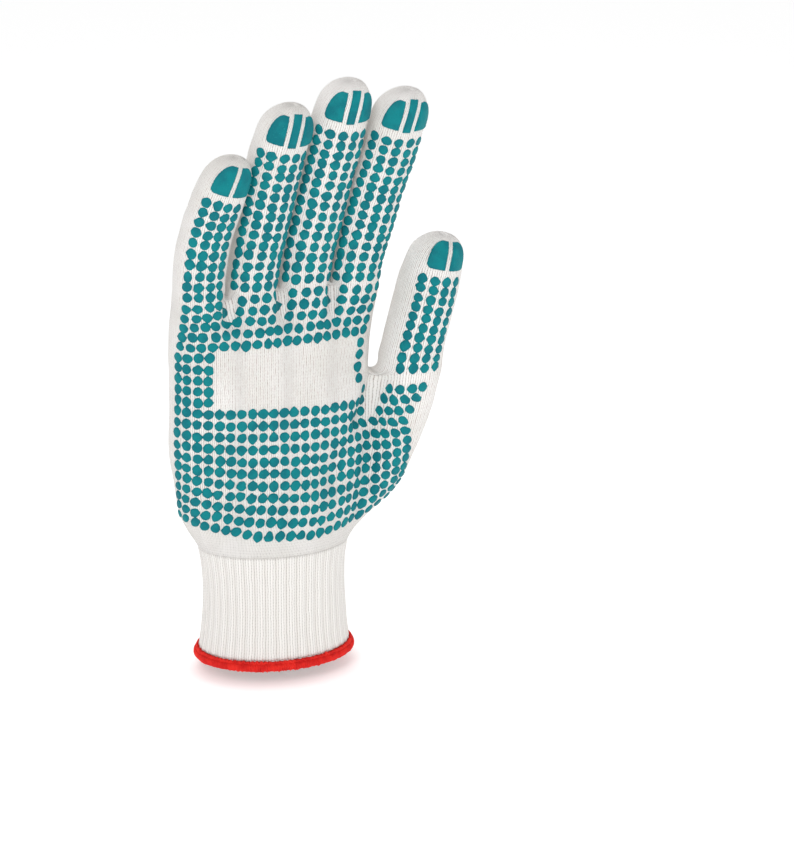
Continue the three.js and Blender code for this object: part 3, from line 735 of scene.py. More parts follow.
class Print:
    """Collects printed copies for one piece."""

    def __init__(self, name):
        self.name, self.points, self.faces = name, [], []

    def dot(self, where):
        """Adds one dot. where gives the place for millimetres across, up and out from the dot's middle."""
        angles = np.arctan2(DOT_POINTS[:, 1], DOT_POINTS[:, 0])
        reach = np.hypot(DOT_POINTS[:, 0], DOT_POINTS[:, 1])
        size = DOT_RADIUS * rng.uniform(0.92, 1.04)
        ragged = np.ones(len(angles))
        for waves in (2, 3, 5, 8):
            ragged += 0.055 / waves ** 0.5 * rng.normal() * np.cos(waves * angles + rng.uniform(0, 6.3)) * reach
        for quarter in range(4):
            spur = rng.uniform(-0.25, 0.24)
            turn = (angles - quarter * math.pi / 2 + math.pi) % (2 * math.pi) - math.pi
            ragged += max(0, spur) * np.exp(-(turn / 0.24) ** 2) * (reach > 0.8)
        up = (DOT_POINTS[:, 2] / DOT_POINTS[:, 2].max()) * (DOT_HEIGHT + DOT_SINK) - DOT_SINK
        first = len(self.points)
        self.points += [where(x, y, lift) for x, y, lift in zip(*(DOT_POINTS[:, :2] * ragged[:, None] * size).T, up)]
        self.faces += [tuple(first + k for k in face) for face in DOT_FACES]

    def build(self):
        mesh = bpy.data.meshes.new(self.name)
        mesh.from_pydata([Vector(point) for point in self.points], [], self.faces)
        piece = bpy.data.objects.new(self.name, mesh)
        bpy.context.collection.objects.link(piece)
        pick(piece)
        bpy.ops.object.shade_smooth_by_angle(angle=math.radians(60))
        return piece


# %% Dots of the fingers
# columns are in millimetres from the middle of the front; top is where the highest row lies below the tip.
DOT_ROWS = dict(
    little=dict(columns=[-8.3, -3.6, 1.1, 5.8], top=21),
    ring=dict(columns=[-11.9, -6.8, -1.7, 3.4, 8.5], top=22.5),
    middle=dict(columns=[-12.1, -6.9, -1.7, 3.5, 8.7], top=23),
    index=dict(columns=[-12.1, -6.9, -1.7, 3.5, 8.7], top=22.5),
    thumb=dict(columns=[-9.2, -4, 1.2, 6.4], top=21),
)
ROW_PITCH = 4.3
LAST_ROW = 2.2  # above the root
printed = []
for name, rows in DOT_ROWS.items():
    sheet = Print(name + "_dots")
    chart = charts[name]
    last = chart.down[-1] - LAST_ROW
    count = round((last - rows["top"]) / ROW_PITCH) + 1
    for middle in np.linspace(rows["top"], last, count):
        for x in rows["columns"]:
            shift_x, shift_y = rng.normal(0, 0.16, 2)
            sheet.dot(lambda dx, dy, lift: chart.at(x + shift_x + dx, middle + shift_y - dy, lift))
    printed.append(sheet.build())
    print(sheet.name, count * len(rows["columns"]), "dots")

# %% A chart of the palm
MIDDLE_WALE = 11 * WALES_PER_EDGE
THUMB_WALE = 26 * WALES_PER_EDGE  # the middle of the thumb's front, below the thumb's web
CALM_LEVEL = 134  # above it the roots' hollows begin, and columns keep to their wales


class PalmChart:
    """Finds places on the hand from millimetres along a row of stitches, 0 at the palm's middle, and a height."""

    def __init__(self):
        self.courses = np.linspace(0, ROOT_COURSE, 120)
        self.wales = np.arange(-16, 84.1, 1.0)
        self.runs = []
        for course in self.courses:
            line = np.array([hand_spot(wale, course)[0] for wale in self.wales])
            run = np.concatenate([[0], np.cumsum(np.linalg.norm(np.diff(line, axis=0), axis=1))]) / MM
            self.runs.append(run - np.interp(MIDDLE_WALE, self.wales, run))
        self.runs = np.array(self.runs)

    def run_at(self, course):
        spot = np.interp(min(course, CALM_COURSE), self.courses, np.arange(len(self.courses)))
        low = min(int(spot), len(self.courses) - 2)
        return self.runs[low] + (self.runs[low + 1] - self.runs[low]) * (spot - low)

    def at(self, x, course):
        return hand_spot(np.interp(x, self.run_at(course), self.wales), course)

    def course_at(self, x, height):
        """The course that lies at a height, in millimetres."""
        course = np.interp(height, [HAND_BOTTOM, THUMB_WEB_LEVEL, WEB_LEVEL], [0, THUMB_COURSE, ROOT_COURSE])
        for _ in range(4):
            course += (height - self.at(x, course)[0][2] / MM) / COURSE * 0.9
            course = max(1, min(ROOT_COURSE, course))
        return course


CALM_COURSE = np.interp(CALM_LEVEL, [THUMB_WEB_LEVEL, WEB_LEVEL], [THUMB_COURSE, ROOT_COURSE])
palm_chart = PalmChart()
sides = {round(x): round(float(palm_chart.at(x, palm_chart.course_at(x, 107))[0][0] / MM), 1) for x in (-52, -48, -44, 40, 44)}
print("x for millimetres along the palm:", sides)

# %% Dots of the palm
# Rows are given by their heights, and by how far they sway from level at places along them. Columns come from
# the fingers, spread to an even pitch, and the thumb's columns run on below its web.
ROW_HEIGHTS = dict(row=[0, 4, 10, 20], z=[154.2, 136, 107, 57])
ROOT_RISE = dict(x=[-35, -14, 10, 34], z=[-1.9, -0.2, 0.6, -0.8])  # of the highest row
ROW_SWAY = dict(x=[-50, -34, -11, 14, 40, 58, 72], high=[2, 1.5, 0.4, -0.6, -1.5, -1.5, -1.5],
                low=[8, 4.4, 0.4, -1.1, 1.5, 9.6, 17])
BLANK_ROWS = range(5, 10)
BLANK_FIELD = dict(left=-30.5, right=33.5)
BLANK_SLANT = 0.17  # the bare field's ends lean inwards towards the fingers
ROWS = 21
EVEN_LEFT = -46.5
EVEN_PITCH = 4.5
PALM_COLUMNS_OF_DOTS = 20
BACK_LIMIT = 0.2
WEB_MARGIN = 1.2  # courses below a web that stay bare
NEAREST = 3.6  # two columns that meet between the fingers share their dots


def root_columns():
    """Where the dot columns of the fingers arrive at the palm, in millimetres along the roots."""
    wales = []
    for k, finger in enumerate(FINGERS):
        middle = (6 * k + 2) * WALES_PER_EDGE
        one_wale = finger["half_width"] * 0.8 / FRONT_MIDDLE
        wales += [middle + x / one_wale for x in DOT_ROWS[finger["name"]]["columns"]]
    return np.interp(wales, palm_chart.wales, palm_chart.run_at(ROOT_COURSE - 3))


def columns_at(z):
    """All columns of a row, in millimetres along it."""
    even = EVEN_LEFT + EVEN_PITCH * np.arange(PALM_COLUMNS_OF_DOTS + 4)
    share = min(1, max(0, (WEB_LEVEL - z) / (WEB_LEVEL - THUMB_WEB_LEVEL) * 1.5))
    columns = COLUMNS_AT_ROOTS + (even[:len(COLUMNS_AT_ROOTS)] - COLUMNS_AT_ROOTS) * share
    if z > THUMB_WEB_LEVEL - 2:
        return columns
    share = min(1, (THUMB_WEB_LEVEL - z) / 22)
    on_thumb = COLUMNS_AT_THUMB + (even[PALM_COLUMNS_OF_DOTS:] - COLUMNS_AT_THUMB) * share
    return np.concatenate([columns, [even[PALM_COLUMNS_OF_DOTS - 1]], on_thumb])


COLUMNS_AT_ROOTS = root_columns()
run = palm_chart.run_at(THUMB_COURSE - 1)
COLUMNS_AT_THUMB = np.interp(THUMB_WALE, palm_chart.wales, run) + np.array(DOT_ROWS["thumb"]["columns"])
print("columns at the roots:", np.round(COLUMNS_AT_ROOTS, 1), "at the thumb:", np.round(COLUMNS_AT_THUMB, 1))

# %% Place the palm's dots
palm_sheet = Print("palm_dots")
placed = []
for row in range(ROWS):
    level = np.interp(row, ROW_HEIGHTS["row"], ROW_HEIGHTS["z"])
    low_share = np.clip((136 - level) / (136 - 57), 0, 1)
    for column in columns_at(level):
        high = np.interp(column, ROW_SWAY["x"], ROW_SWAY["high"]) * min(1, low_share * 3)
        low = np.interp(column, ROW_SWAY["x"], ROW_SWAY["low"])
        z = level + high + (low - high) * low_share ** 2
        z += np.interp(column, ROOT_RISE["x"], ROOT_RISE["z"]) * max(0, (level - 136) / (WEB_LEVEL - 136))
        course = palm_chart.course_at(column, z)
        place, normal = palm_chart.at(column, course)
        lean = BLANK_SLANT * (z - 120)
        blank = row in BLANK_ROWS and BLANK_FIELD["left"] + lean < column < BLANK_FIELD["right"] - lean
        crowded = any(np.linalg.norm(place - other) < NEAREST * MM for other in placed)
        over_web = course > ROOT_COURSE - WEB_MARGIN
        if blank or crowded or over_web or normal[1] > BACK_LIMIT:
            continue
        one_course = np.linalg.norm(palm_chart.at(column, course + 0.6)[0] - palm_chart.at(column, course - 0.6)[0]) / 1.2
        one_mm = np.linalg.norm(palm_chart.at(column + 0.7, course)[0] - palm_chart.at(column - 0.7, course)[0]) / 1.4

        def spot(dx, dy, lift):
            near, out = palm_chart.at(column + (shift_x + dx) * MM / one_mm, course + (shift_y + dy) * MM / one_course)
            return near + out * lift * MM

        shift_x, shift_y = rng.normal(0, 0.13, 2)
        palm_sheet.dot(spot)
        placed.append(place)
printed.append(palm_sheet.build())
print("palm_dots", len(placed), "dots")

# %% [markdown]
# ## The pads on the fingertips
# Each long fingertip has a bar between two side pads, and the little finger and the thumb have two pads. They
# are one print with bare slits between them. A pad is a fine grid whose columns run from its inner edge to its
# round outer edge; it is laid on the knit like the dots and stands in for the plain solid of the same name.

# %% Lay the pads
PAD_TOP = 3.4  # below the tip
PAD_HEIGHT = 14.6
PAD_WIDTH = 8.0
BAR_WIDTH = 4.0
SLIT = 1.4
PAD_LIFT = 0.75
PAD_CELLS = 16
PAD_ROWS = 28


def pad(name, node, chart, edges, top, low):
    """A printed patch. edges gives the left and right edge for each share of the height, 0 low and 1 high."""
    mesh_points, faces = [], []
    for r in range(PAD_ROWS + 1):
        share = r / PAD_ROWS
        left, right = edges(share)
        for c in range(PAD_CELLS + 1):
            across = c / PAD_CELLS
            rim = min(share, 1 - share) * (low - top)
            rim = min(rim, min(across, 1 - across) * (right - left))
            ragged = 0.32 * noise.noise(Vector((share * 19, across * 3 + len(name), left))) * (c in (0, PAD_CELLS))
            rounding = 1 - (1 - min(1, rim / 1.1)) ** 2.4
            lift = -DOT_SINK + (PAD_LIFT + DOT_SINK) * rounding
            lift += 0.05 * noise.noise(Vector((share * 21, across * 13, len(name))))
            down = low - (low - top) * share + 0.3 * noise.noise(Vector((across * 14, r * 0.2, left))) * (r in (0, PAD_ROWS))
            mesh_points.append(chart.at(left + (right - left) * across + ragged, down, lift))
    wide = PAD_CELLS + 1
    for r in range(PAD_ROWS):
        for c in range(PAD_CELLS):
            k = r * wide + c
            faces.append((k, k + 1, k + wide + 1, k + wide))
    mesh = bpy.data.meshes.new(name)
    mesh.from_pydata([Vector(point) for point in mesh_points], [], faces)
    piece = bpy.data.objects.new(name, mesh)
    bpy.context.collection.objects.link(piece)
    pick(piece)
    bpy.ops.object.shade_smooth()
    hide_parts(node)
    return piece


def outer_reach(share, width):
    """How far a side pad reaches out: full low down, then a quarter of an ellipse."""
    round_low = 1 - 0.24 * max(0, 1 - share / 0.14) ** 2.2
    return width * round_low * oval_height(max(0, share - 0.16) / 0.86, 2.1)


def side_pad(finger, side, inner, width, top, low):
    def edges(share):
        reach = inner + max(0.6, outer_reach(share, width))
        return (inner, reach) if side == "right" else (-reach, -inner)
    return pad(f"{finger}_{side}_pad", f"{finger}_pad_{side}", charts[finger], edges, top, low)


pads = []
for name in ("ring", "middle", "index"):
    inner = BAR_WIDTH / 2 + SLIT
    for side in ("left", "right"):
        pads.append(side_pad(name, side, inner, PAD_WIDTH, PAD_TOP + 1.5, PAD_TOP + PAD_HEIGHT - 0.6))
    pads.append(pad(f"{name}_bar_pad", f"{name}_pad_bar", charts[name],
                    lambda share: (-BAR_WIDTH / 2, BAR_WIDTH / 2), PAD_TOP, PAD_TOP + PAD_HEIGHT))
for name in ("little", "thumb"):
    for side in ("left", "right"):
        pads.append(side_pad(name, side, SLIT / 2, PAD_WIDTH + 0.4, PAD_TOP, PAD_TOP + PAD_HEIGHT - 1.6))
print("pads laid:", [piece.name for piece in pads])

# %% [markdown]
# The knit is a wall, open at the wrist. Solidify gives it its thickness inwards, once nothing more has to be
# found on the surface. How far the back's stitches are stretched is kept with each point: most along the
# middle of the fingers and over the knuckles, none at the tips and sides.

# %% Stretch of the stitches
def stretch_of(rows, normals):
    """0 for relaxed stitches, 1 for stitches pulled open, for points in millimetres."""
    back = np.clip(normals[:, 1] * 1.5 - 0.45, 0, 1)
    open_share = np.zeros(len(rows))
    for finger in FINGERS:
        centres = np.array([finger_centre(finger, along) for along in np.linspace(0, 1, 30)])
        spot = np.clip((rows[:, 2] - centres[0, 2]) / (centres[-1, 2] - centres[0, 2]), 0, 1)
        middle = np.interp(spot, np.linspace(0, 1, 30), centres[:, 0])
        beside = np.abs(rows[:, 0] - middle) / finger["half_width"]
        along = np.exp(-((spot - 0.36) / 0.34) ** 2)
        above = rows[:, 2] > WEB_LEVEL - 6
        open_share = np.maximum(open_share, above * along * np.exp(-(beside / 0.75) ** 2))
    knuckles = np.exp(-((rows[:, 2] - WEB_LEVEL + 14) / 17) ** 2) * np.exp(-((rows[:, 0] - 4) / 34) ** 4)
    wrist = 0.5 * np.exp(-((rows[:, 2] - HAND_BOTTOM) / 14) ** 2)
    return np.maximum(np.maximum(open_share, 0.75 * knuckles) * back, wrist)


stretch = skin.data.attributes.new("stretch", "FLOAT", "POINT")
stretch.data.foreach_set("value", stretch_of(points_of(skin.data) / MM, normals_of(skin.data)))
# palm_side also masks the yarn's painted reddish shade between the wales
palm_side = skin.data.attributes.new("palm_side", "FLOAT", "POINT")
above_heel = np.clip((points_of(skin.data)[:, 2] / MM - HAND_BOTTOM - 6) / 20, 0, 1)
palm_side.data.foreach_set("value", np.clip(0.25 - normals_of(skin.data)[:, 1] * 1.5, 0, 1) * above_heel)

# %% Wall of the skin
pick(skin)
bpy.ops.object.shade_smooth()
modify(skin, "SOLIDIFY", thickness=KNIT_WALL * MM, offset=-1, use_even_offset=False)
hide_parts("hand_body", "little_finger", "ring_finger", "middle_finger", "index_finger", "thumb")
print("skin with its wall:", len(skin.data.polygons), "faces")

# %% [markdown]
# ## The ribbed cuff
# The cuff is a tube of two by two rib: pairs of raised wales between sunk ones, drawn in at the wrist. It
# starts as an open cylinder with enough columns for a round rib, cut into rings, and is then laid on the
# cuff's sections. The ribs fade out just under the hand, where plain knit begins.

# %% Raise the cuff
CUFF_COLUMNS = RIB_COUNT * 10
CUFF_CUTS = 29
WALES_PER_RIB = 2

deselect()
bpy.ops.mesh.primitive_cylinder_add(vertices=CUFF_COLUMNS, radius=1, depth=1, end_fill_type="NOTHING", location=(0, 0, 0.5))
cuff = settle(bpy.context.object, "ribbed_cuff_knit")
pick(cuff)
bpy.ops.object.mode_set(mode="EDIT")
bpy.ops.mesh.select_mode(type="EDGE")
bpy.ops.mesh.select_all(action="DESELECT")
bpy.ops.object.mode_set(mode="OBJECT")
for edge in cuff.data.edges:
    a, b = (cuff.data.vertices[k].co for k in edge.vertices)
    edge.select = abs(a.z - b.z) > 0.5
bpy.ops.object.mode_set(mode="EDIT")
bpy.ops.mesh.subdivide(number_cuts=CUFF_CUTS)
bpy.ops.object.mode_set(mode="OBJECT")
print("cuff cylinder:", len(cuff.data.vertices), "points")


# %% Lay the cuff on its sections
def cuff_point(angle, up, outward=0.0):
    """A point on the cuff's outside, in millimetres."""
    row = row_at(CUFF_SECTIONS, "up", up)
    x = (row["width"] * WRIST_WIDTH / 2 + outward) * math.cos(angle)
    y = (row["depth"] * WRIST_DEPTH / 2 + outward) * math.sin(angle)
    return Vector((x, y, CUFF_BOTTOM + up * (CUFF_LENGTH + GAP + 0.15)))


def rib_height(angle, up):
    """Relief of the ribs, in millimetres: round ridges, narrower valleys."""
    wave = 0.5 + 0.5 * math.cos(angle * RIB_COUNT)
    fade = (1 - 0.45 * max(0, up - 0.75) / 0.25) * (0.65 + 0.35 * min(1, up / 0.08))
    sway = 1 + 0.25 * noise.noise(Vector((math.cos(angle) * 3, math.sin(angle) * 3, up * 2)))
    return RIB_RELIEF * (wave ** 0.7 - 1) * fade * sway


cuff_rows = []
for x, y, z in points_of(cuff.data):
    angle = math.atan2(y, x)
    dent = 0.5 * noise.noise(Vector((math.cos(angle) * 1.3, math.sin(angle) * 1.3, z * 1.6 + 4))) * math.sin(math.pi * z)
    point = cuff_point(angle, min(1, max(0, z)), rib_height(angle, z) + dent)
    cuff_rows.append(point * MM)
put_points(cuff.data, cuff_rows)

cuff_uv = cuff.data.uv_layers.new(name="stitches") if not cuff.data.uv_layers else cuff.data.uv_layers[0]
cuff_uv.name = "stitches"
for face in cuff.data.polygons:
    centre = face.center
    middle = math.atan2(centre.y / WRIST_DEPTH, centre.x / WRIST_WIDTH)
    for loop in face.loop_indices:
        place = cuff.data.vertices[cuff.data.loops[loop].vertex_index].co
        angle = math.atan2(place.y / WRIST_DEPTH, place.x / WRIST_WIDTH)
        turn = angle - middle
        angle = middle + (turn + math.pi) % (2 * math.pi) - math.pi
        cuff_uv.data[loop].uv = (angle / (2 * math.pi) * RIB_COUNT * WALES_PER_RIB, place.z / MM / COURSE)
pick(cuff)
bpy.ops.object.shade_smooth()
modify(cuff, "SOLIDIFY", thickness=CUFF_WALL * MM, offset=-1, use_even_offset=False)
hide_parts("rib_cuff")
print("cuff:", len(cuff.data.polygons), "faces,", RIB_COUNT, "ribs")

# %% [markdown]
# ## The red overlocked hem
# A thick red yarn is whipped over the cuff's cut edge: a round core, with slanted turns of thread side by side
# over it, and a zigzag of thread along its upper edge where the white ground shows between the stitches. The
# core is a torus laid on the cuff's oval; one turn of thread is modelled and copied round it.

# %% Core of the hem
HEM_TURNS = 210
HEM_LOW = 0.55

deselect()
bpy.ops.mesh.primitive_torus_add(major_segments=180, minor_segments=14, major_radius=10, minor_radius=1)
hem = bpy.context.object


def hem_point(angle, across, up):
    """A point round the hem: across outwards from its middle line and up from the ground, in millimetres."""
    half_width = WRIST_WIDTH / 2 * CUFF_SECTIONS[0]["width"] + HEM_FLARE * 0.3 - HEM_THICKNESS * 0.22
    half_depth = WRIST_DEPTH / 2 * CUFF_SECTIONS[0]["depth"] + HEM_FLARE * 0.3 - HEM_THICKNESS * 0.22
    flare = HEM_FLARE * max(0, 1 - up / HEM_HEIGHT) * 0.5
    x = (half_width + across + flare) * math.cos(angle)
    y = (half_depth + across + flare) * math.sin(angle)
    return Vector((x, y, up)) * MM


rows = points_of(hem.data)
hem_rows = []
for x, y, z in rows:
    across = math.hypot(x, y) - 10
    hem_rows.append(hem_point(math.atan2(y, x), across * HEM_THICKNESS * 0.43, HEM_HEIGHT * 0.5 + z * HEM_HEIGHT * 0.44))
put_points(hem.data, hem_rows)
hem = settle(hem, "red_hem_core")
pick(hem)
bpy.ops.object.shade_smooth()
print("hem core:", len(hem.data.polygons), "faces")


# %% One turn of thread
def tube(path, radius, sides, points, faces, taper=False):
    """Adds a round thread along a path of points in metres."""
    first = len(points)
    for k, place in enumerate(path):
        ahead = (path[min(k + 1, len(path) - 1)] - path[max(k - 1, 0)]).normalized()
        right = ahead.orthogonal().normalized()
        if k:
            right = (last_right - ahead * last_right.dot(ahead)).normalized()
        last_right = right
        up = ahead.cross(right)
        thick = radius * (0.35 if taper and k in (0, len(path) - 1) else 1)
        for s in range(sides):
            turn = 2 * math.pi * s / sides
            points.append(place + (right * math.cos(turn) + up * math.sin(turn)) * thick)
    for k in range(len(path) - 1):
        for s in range(sides):
            n = (s + 1) % sides
            a, b = first + k * sides, first + (k + 1) * sides
            faces.append((a + s, a + n, b + n, b + s))
    faces.append(tuple(first + s for s in range(sides))[::-1])
    faces.append(tuple(first + (len(path) - 1) * sides + s for s in range(sides)))


THREAD = 0.44
points, faces = [], []
step = 2 * math.pi / HEM_TURNS
for turn in range(HEM_TURNS):
    angle = turn * step
    loose = rng.normal(0, 0.06)
    path = []
    for k in range(11):
        share = k / 10
        swing = math.radians(-35 + 285 * share)
        across = HEM_THICKNESS * 0.43 * math.cos(swing)
        up = HEM_HEIGHT * 0.5 - HEM_HEIGHT * (0.4 + loose * 0.5) * math.sin(swing)
        path.append(hem_point(angle + step * (1.15 * share + loose), across, up))
    tube(path, THREAD * MM * (1 + loose), 7, points, faces)
mesh = bpy.data.meshes.new("red_hem_thread")
mesh.from_pydata(points, [], faces)
thread = bpy.data.objects.new("red_hem_thread", mesh)
bpy.context.collection.objects.link(thread)
pick(thread)
bpy.ops.object.shade_smooth()
print("turns of thread:", HEM_TURNS, "with", len(mesh.polygons), "faces")

# %% Zigzag along the hem's upper edge
points, faces = [], []
for turn in range(HEM_TURNS // 2):
    angle = turn * step * 2
    tall = 1.5 + rng.normal(0, 0.12)
    for start, end in ((0, 1.0), (2.0, 1.0)):
        path = []
        for k in range(6):
            share = k / 5
            at = angle + step * (start + (end - start) * share)
            out = HEM_THICKNESS * 0.24 + 0.45 * math.sin(math.pi * share) - 0.25 * share
            path.append(hem_point(at, out, HEM_HEIGHT * 0.72 + tall * share))
        tube(path, 0.42 * MM, 6, points, faces, taper=True)
mesh = bpy.data.meshes.new("red_hem_zigzag")
mesh.from_pydata(points, [], faces)
zigzag = bpy.data.objects.new("red_hem_zigzag", mesh)
bpy.context.collection.objects.link(zigzag)
pick(zigzag)
bpy.ops.object.shade_smooth()
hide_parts("hem_edge")
print("zigzag:", len(mesh.polygons), "faces")

# %% [markdown]
# ## Yarn, print and thread
# The knit is drawn by its UV map, where one unit is one wale or one course. A node group turns it into the two
# slanted legs of each stitch: how high the yarn lies, and how deep the gaps between the stitches are.


# %% Helpers for materials
def linear(red, green, blue):
    """A colour given as it looks on a screen, 0 to 255, in light values."""
    return tuple((c / 255 / 12.92) if c < 10 else ((c / 255 + 0.055) / 1.055) ** 2.4 for c in (red, green, blue)) + (1,)


class Nodes:
    """Short ways to add and join nodes in one tree."""

    def __init__(self, tree):
        self.tree = tree

    def add(self, kind, inputs=None, **values):
        node = self.tree.nodes.new(kind)
        for key, value in values.items():
            setattr(node, key, value)
        for key, value in (inputs or {}).items():
            self.feed(node.inputs[key], value)
        return node

    def feed(self, socket, value):
        if isinstance(value, bpy.types.NodeSocket):
            self.tree.links.new(value, socket)
        else:
            socket.default_value = value

    def math(self, operation, a, b=0.0, clamp=False):
        return self.add("ShaderNodeMath", {0: a, 1: b}, operation=operation, use_clamp=clamp).outputs[0]

    def mix(self, share, a, b):
        node = self.add("ShaderNodeMix", data_type="RGBA")
        self.feed(node.inputs[0], share)
        self.feed(node.inputs[6], a)
        self.feed(node.inputs[7], b)
        return node.outputs[2]

    def noise(self, where, scale, detail=2.0, rough=0.5):
        values = {"Vector": where, "Scale": scale, "Detail": detail, "Roughness": rough}
        return self.add("ShaderNodeTexNoise", values).outputs["Fac"]

    def band(self, value, low, high, to_low=0.0, to_high=1.0):
        values = {0: value, 1: low, 2: high, 3: to_low, 4: to_high}
        return self.add("ShaderNodeMapRange", values, interpolation_type="SMOOTHSTEP").outputs[0]


def make_group(name, inputs, outputs):
    """A node group with named sockets. inputs are (name, kind, value)."""
    tree = bpy.data.node_groups.new(name, "ShaderNodeTree")
    for label, kind, value in inputs:
        socket = tree.interface.new_socket(name=label, in_out="INPUT", socket_type=kind)
        if value is not None:
            socket.default_value = value
    for label, kind in outputs:
        tree.interface.new_socket(name=label, in_out="OUTPUT", socket_type=kind)
    nodes = Nodes(tree)
    return tree, nodes, nodes.add("NodeGroupInput"), nodes.add("NodeGroupOutput")


def make_material(name):
    material = bpy.data.materials.new(name)
    material.use_nodes = True
    material.node_tree.nodes.clear()
    nodes = Nodes(material.node_tree)
    shader = nodes.add("ShaderNodeBsdfPrincipled")
    output = nodes.add("ShaderNodeOutputMaterial")
    material.node_tree.links.new(shader.outputs[0], output.inputs["Surface"])
    return material, nodes, shader


print("material helpers ready")

# %% The knit as a node group
FLOAT, COLOR, VECTOR = "NodeSocketFloat", "NodeSocketColor", "NodeSocketVector"
knit_group, n, gin, gout = make_group(
    "knit_stitches", [("Stitches", VECTOR, None), ("Slope", FLOAT, 0.9), ("Stretch", FLOAT, 0.0)],
    [("Height", FLOAT), ("Gap", FLOAT), ("Hole", FLOAT), ("Line", FLOAT)])
wobble = n.add("ShaderNodeTexNoise", {"Vector": gin.outputs["Stitches"], "Scale": 0.35, "Detail": 3.0}).outputs["Color"]
wobble = n.add("ShaderNodeVectorMath", {0: wobble, 1: (0.5, 0.5, 0.5)}, operation="SUBTRACT").outputs[0]
wobble = n.add("ShaderNodeVectorMath", {0: wobble, 1: (0.35, 0.5, 0)}, operation="MULTIPLY").outputs[0]
bent = n.add("ShaderNodeVectorMath", {0: gin.outputs["Stitches"], 1: wobble}, operation="ADD").outputs[0]
parts = n.add("ShaderNodeSeparateXYZ", {0: bent})
aside = n.math("ABSOLUTE", n.math("SUBTRACT", n.math("FRACT", parts.outputs[0]), 0.5))
leg = n.math("SUBTRACT", n.math("MULTIPLY", aside, 4.0), 1.0)
leg_round = n.math("SQRT", n.math("MAXIMUM", n.math("SUBTRACT", 1.0, n.math("MULTIPLY", leg, leg)), 0.0))
rise = n.math("MULTIPLY", n.math("MULTIPLY", aside, 2.0), gin.outputs["Slope"])
turn = n.math("FRACT", n.math("SUBTRACT", parts.outputs[1], rise))
turn = n.math("SUBTRACT", n.math("MULTIPLY", turn, 2.0), 1.0)
row_round = n.math("SQRT", n.math("MAXIMUM", n.math("SUBTRACT", 1.0, n.math("MULTIPLY", turn, turn)), 0.0))
height = n.math("MULTIPLY", leg_round, n.math("ADD", n.math("MULTIPLY", row_round, 0.55), 0.45))
# Gap also serves as the mask for painted shade: the yarns are darkened in the gaps between stitches
gap = n.band(height, 0.0, 0.62, 1.0, 0.0)
course_middle = n.math("ABSOLUTE", n.math("SUBTRACT", n.math("FRACT", n.math("ADD", parts.outputs[1], 0.35)), 0.5))
beside = n.math("SUBTRACT", 0.5, aside)
hole_far = n.math("SQRT", n.math("ADD", n.math("POWER", n.math("MULTIPLY", beside, 1.25), 2.0),
                                 n.math("POWER", n.math("MULTIPLY", course_middle, 0.85), 2.0)))
hole_size = n.band(gin.outputs["Stretch"], 0.0, 1.0, 0.05, 0.24)
uneven = n.noise(gin.outputs["Stitches"], 0.6, 2.0)
hole_size = n.math("MULTIPLY", hole_size, n.band(uneven, 0.3, 0.7, 0.6, 1.3))
hole = n.math("SUBTRACT", 1.0, n.math("DIVIDE", hole_far, hole_size), clamp=True)
n.feed(gout.inputs["Height"], height)
n.feed(gout.inputs["Gap"], gap)
n.feed(gout.inputs["Hole"], hole)
# Line marks the gaps between wales, used as a mask for painted shade
line = n.band(aside, 0.34, 0.5)
broken = n.noise(n.add("ShaderNodeVectorMath", {0: gin.outputs["Stitches"], 1: (1.0, 0.6, 0)}, operation="MULTIPLY").outputs[0], 1.1, 2.0)
n.feed(gout.inputs["Line"], n.math("MULTIPLY", line, n.band(broken, 0.4, 0.62)))
print("knit group:", len(knit_group.nodes), "nodes")

# %% White yarn
white_yarn, n, shader = make_material("white_yarn")
stitches = n.add("ShaderNodeUVMap", uv_map="stitches").outputs[0]
stretched = n.add("ShaderNodeAttribute", attribute_name="stretch").outputs["Fac"]
where = n.add("ShaderNodeTexCoord").outputs["Object"]
knit = n.add("ShaderNodeGroup", {}, node_tree=knit_group)
n.feed(knit.inputs["Stitches"], stitches)
n.feed(knit.inputs["Stretch"], stretched)
fibre = n.noise(where, 2600, 3.0, 0.7)
cloud = n.noise(where, 45, 3.0)
body = n.mix(n.band(cloud, 0.35, 0.7), linear(250, 247, 244), linear(241, 238, 233))
# Painted shade: the yarn is darkened in the gaps between the stitches
body = n.mix(n.math("MULTIPLY", knit.outputs["Gap"], 0.95), body, linear(156, 143, 134))
front = n.add("ShaderNodeAttribute", attribute_name="palm_side").outputs["Fac"]
# Painted shade: reddish-brown lines in the gaps between wales on the palm side
painted_wale_shade = n.math("MULTIPLY", n.math("MULTIPLY", knit.outputs["Line"], front), 0.5)
body = n.mix(painted_wale_shade, body, linear(150, 96, 84))
body = n.mix(n.math("MULTIPLY", n.band(fibre, 0.5, 0.75), 0.12), body, linear(205, 198, 190))
# The holes are real openings in the knit; their dark colour is painted shade of the glove's inside
body = n.mix(n.math("MULTIPLY", knit.outputs["Hole"], 0.85), body, linear(92, 80, 72))
n.feed(shader.inputs["Base Color"], body)
n.feed(shader.inputs["Roughness"], 0.92)
n.feed(shader.inputs["Sheen Weight"], 0.25)
n.feed(shader.inputs["Sheen Roughness"], 0.6)
relief = n.math("ADD", knit.outputs["Height"], n.math("MULTIPLY", fibre, 0.22))
relief = n.math("SUBTRACT", relief, n.math("MULTIPLY", knit.outputs["Hole"], 0.8))
bump = n.add("ShaderNodeBump", {"Height": relief, "Strength": 0.8, "Distance": 0.00045})
n.feed(shader.inputs["Normal"], bump.outputs[0])
skin.data.materials.clear()
skin.data.materials.append(white_yarn)
print("white yarn on", skin.name)

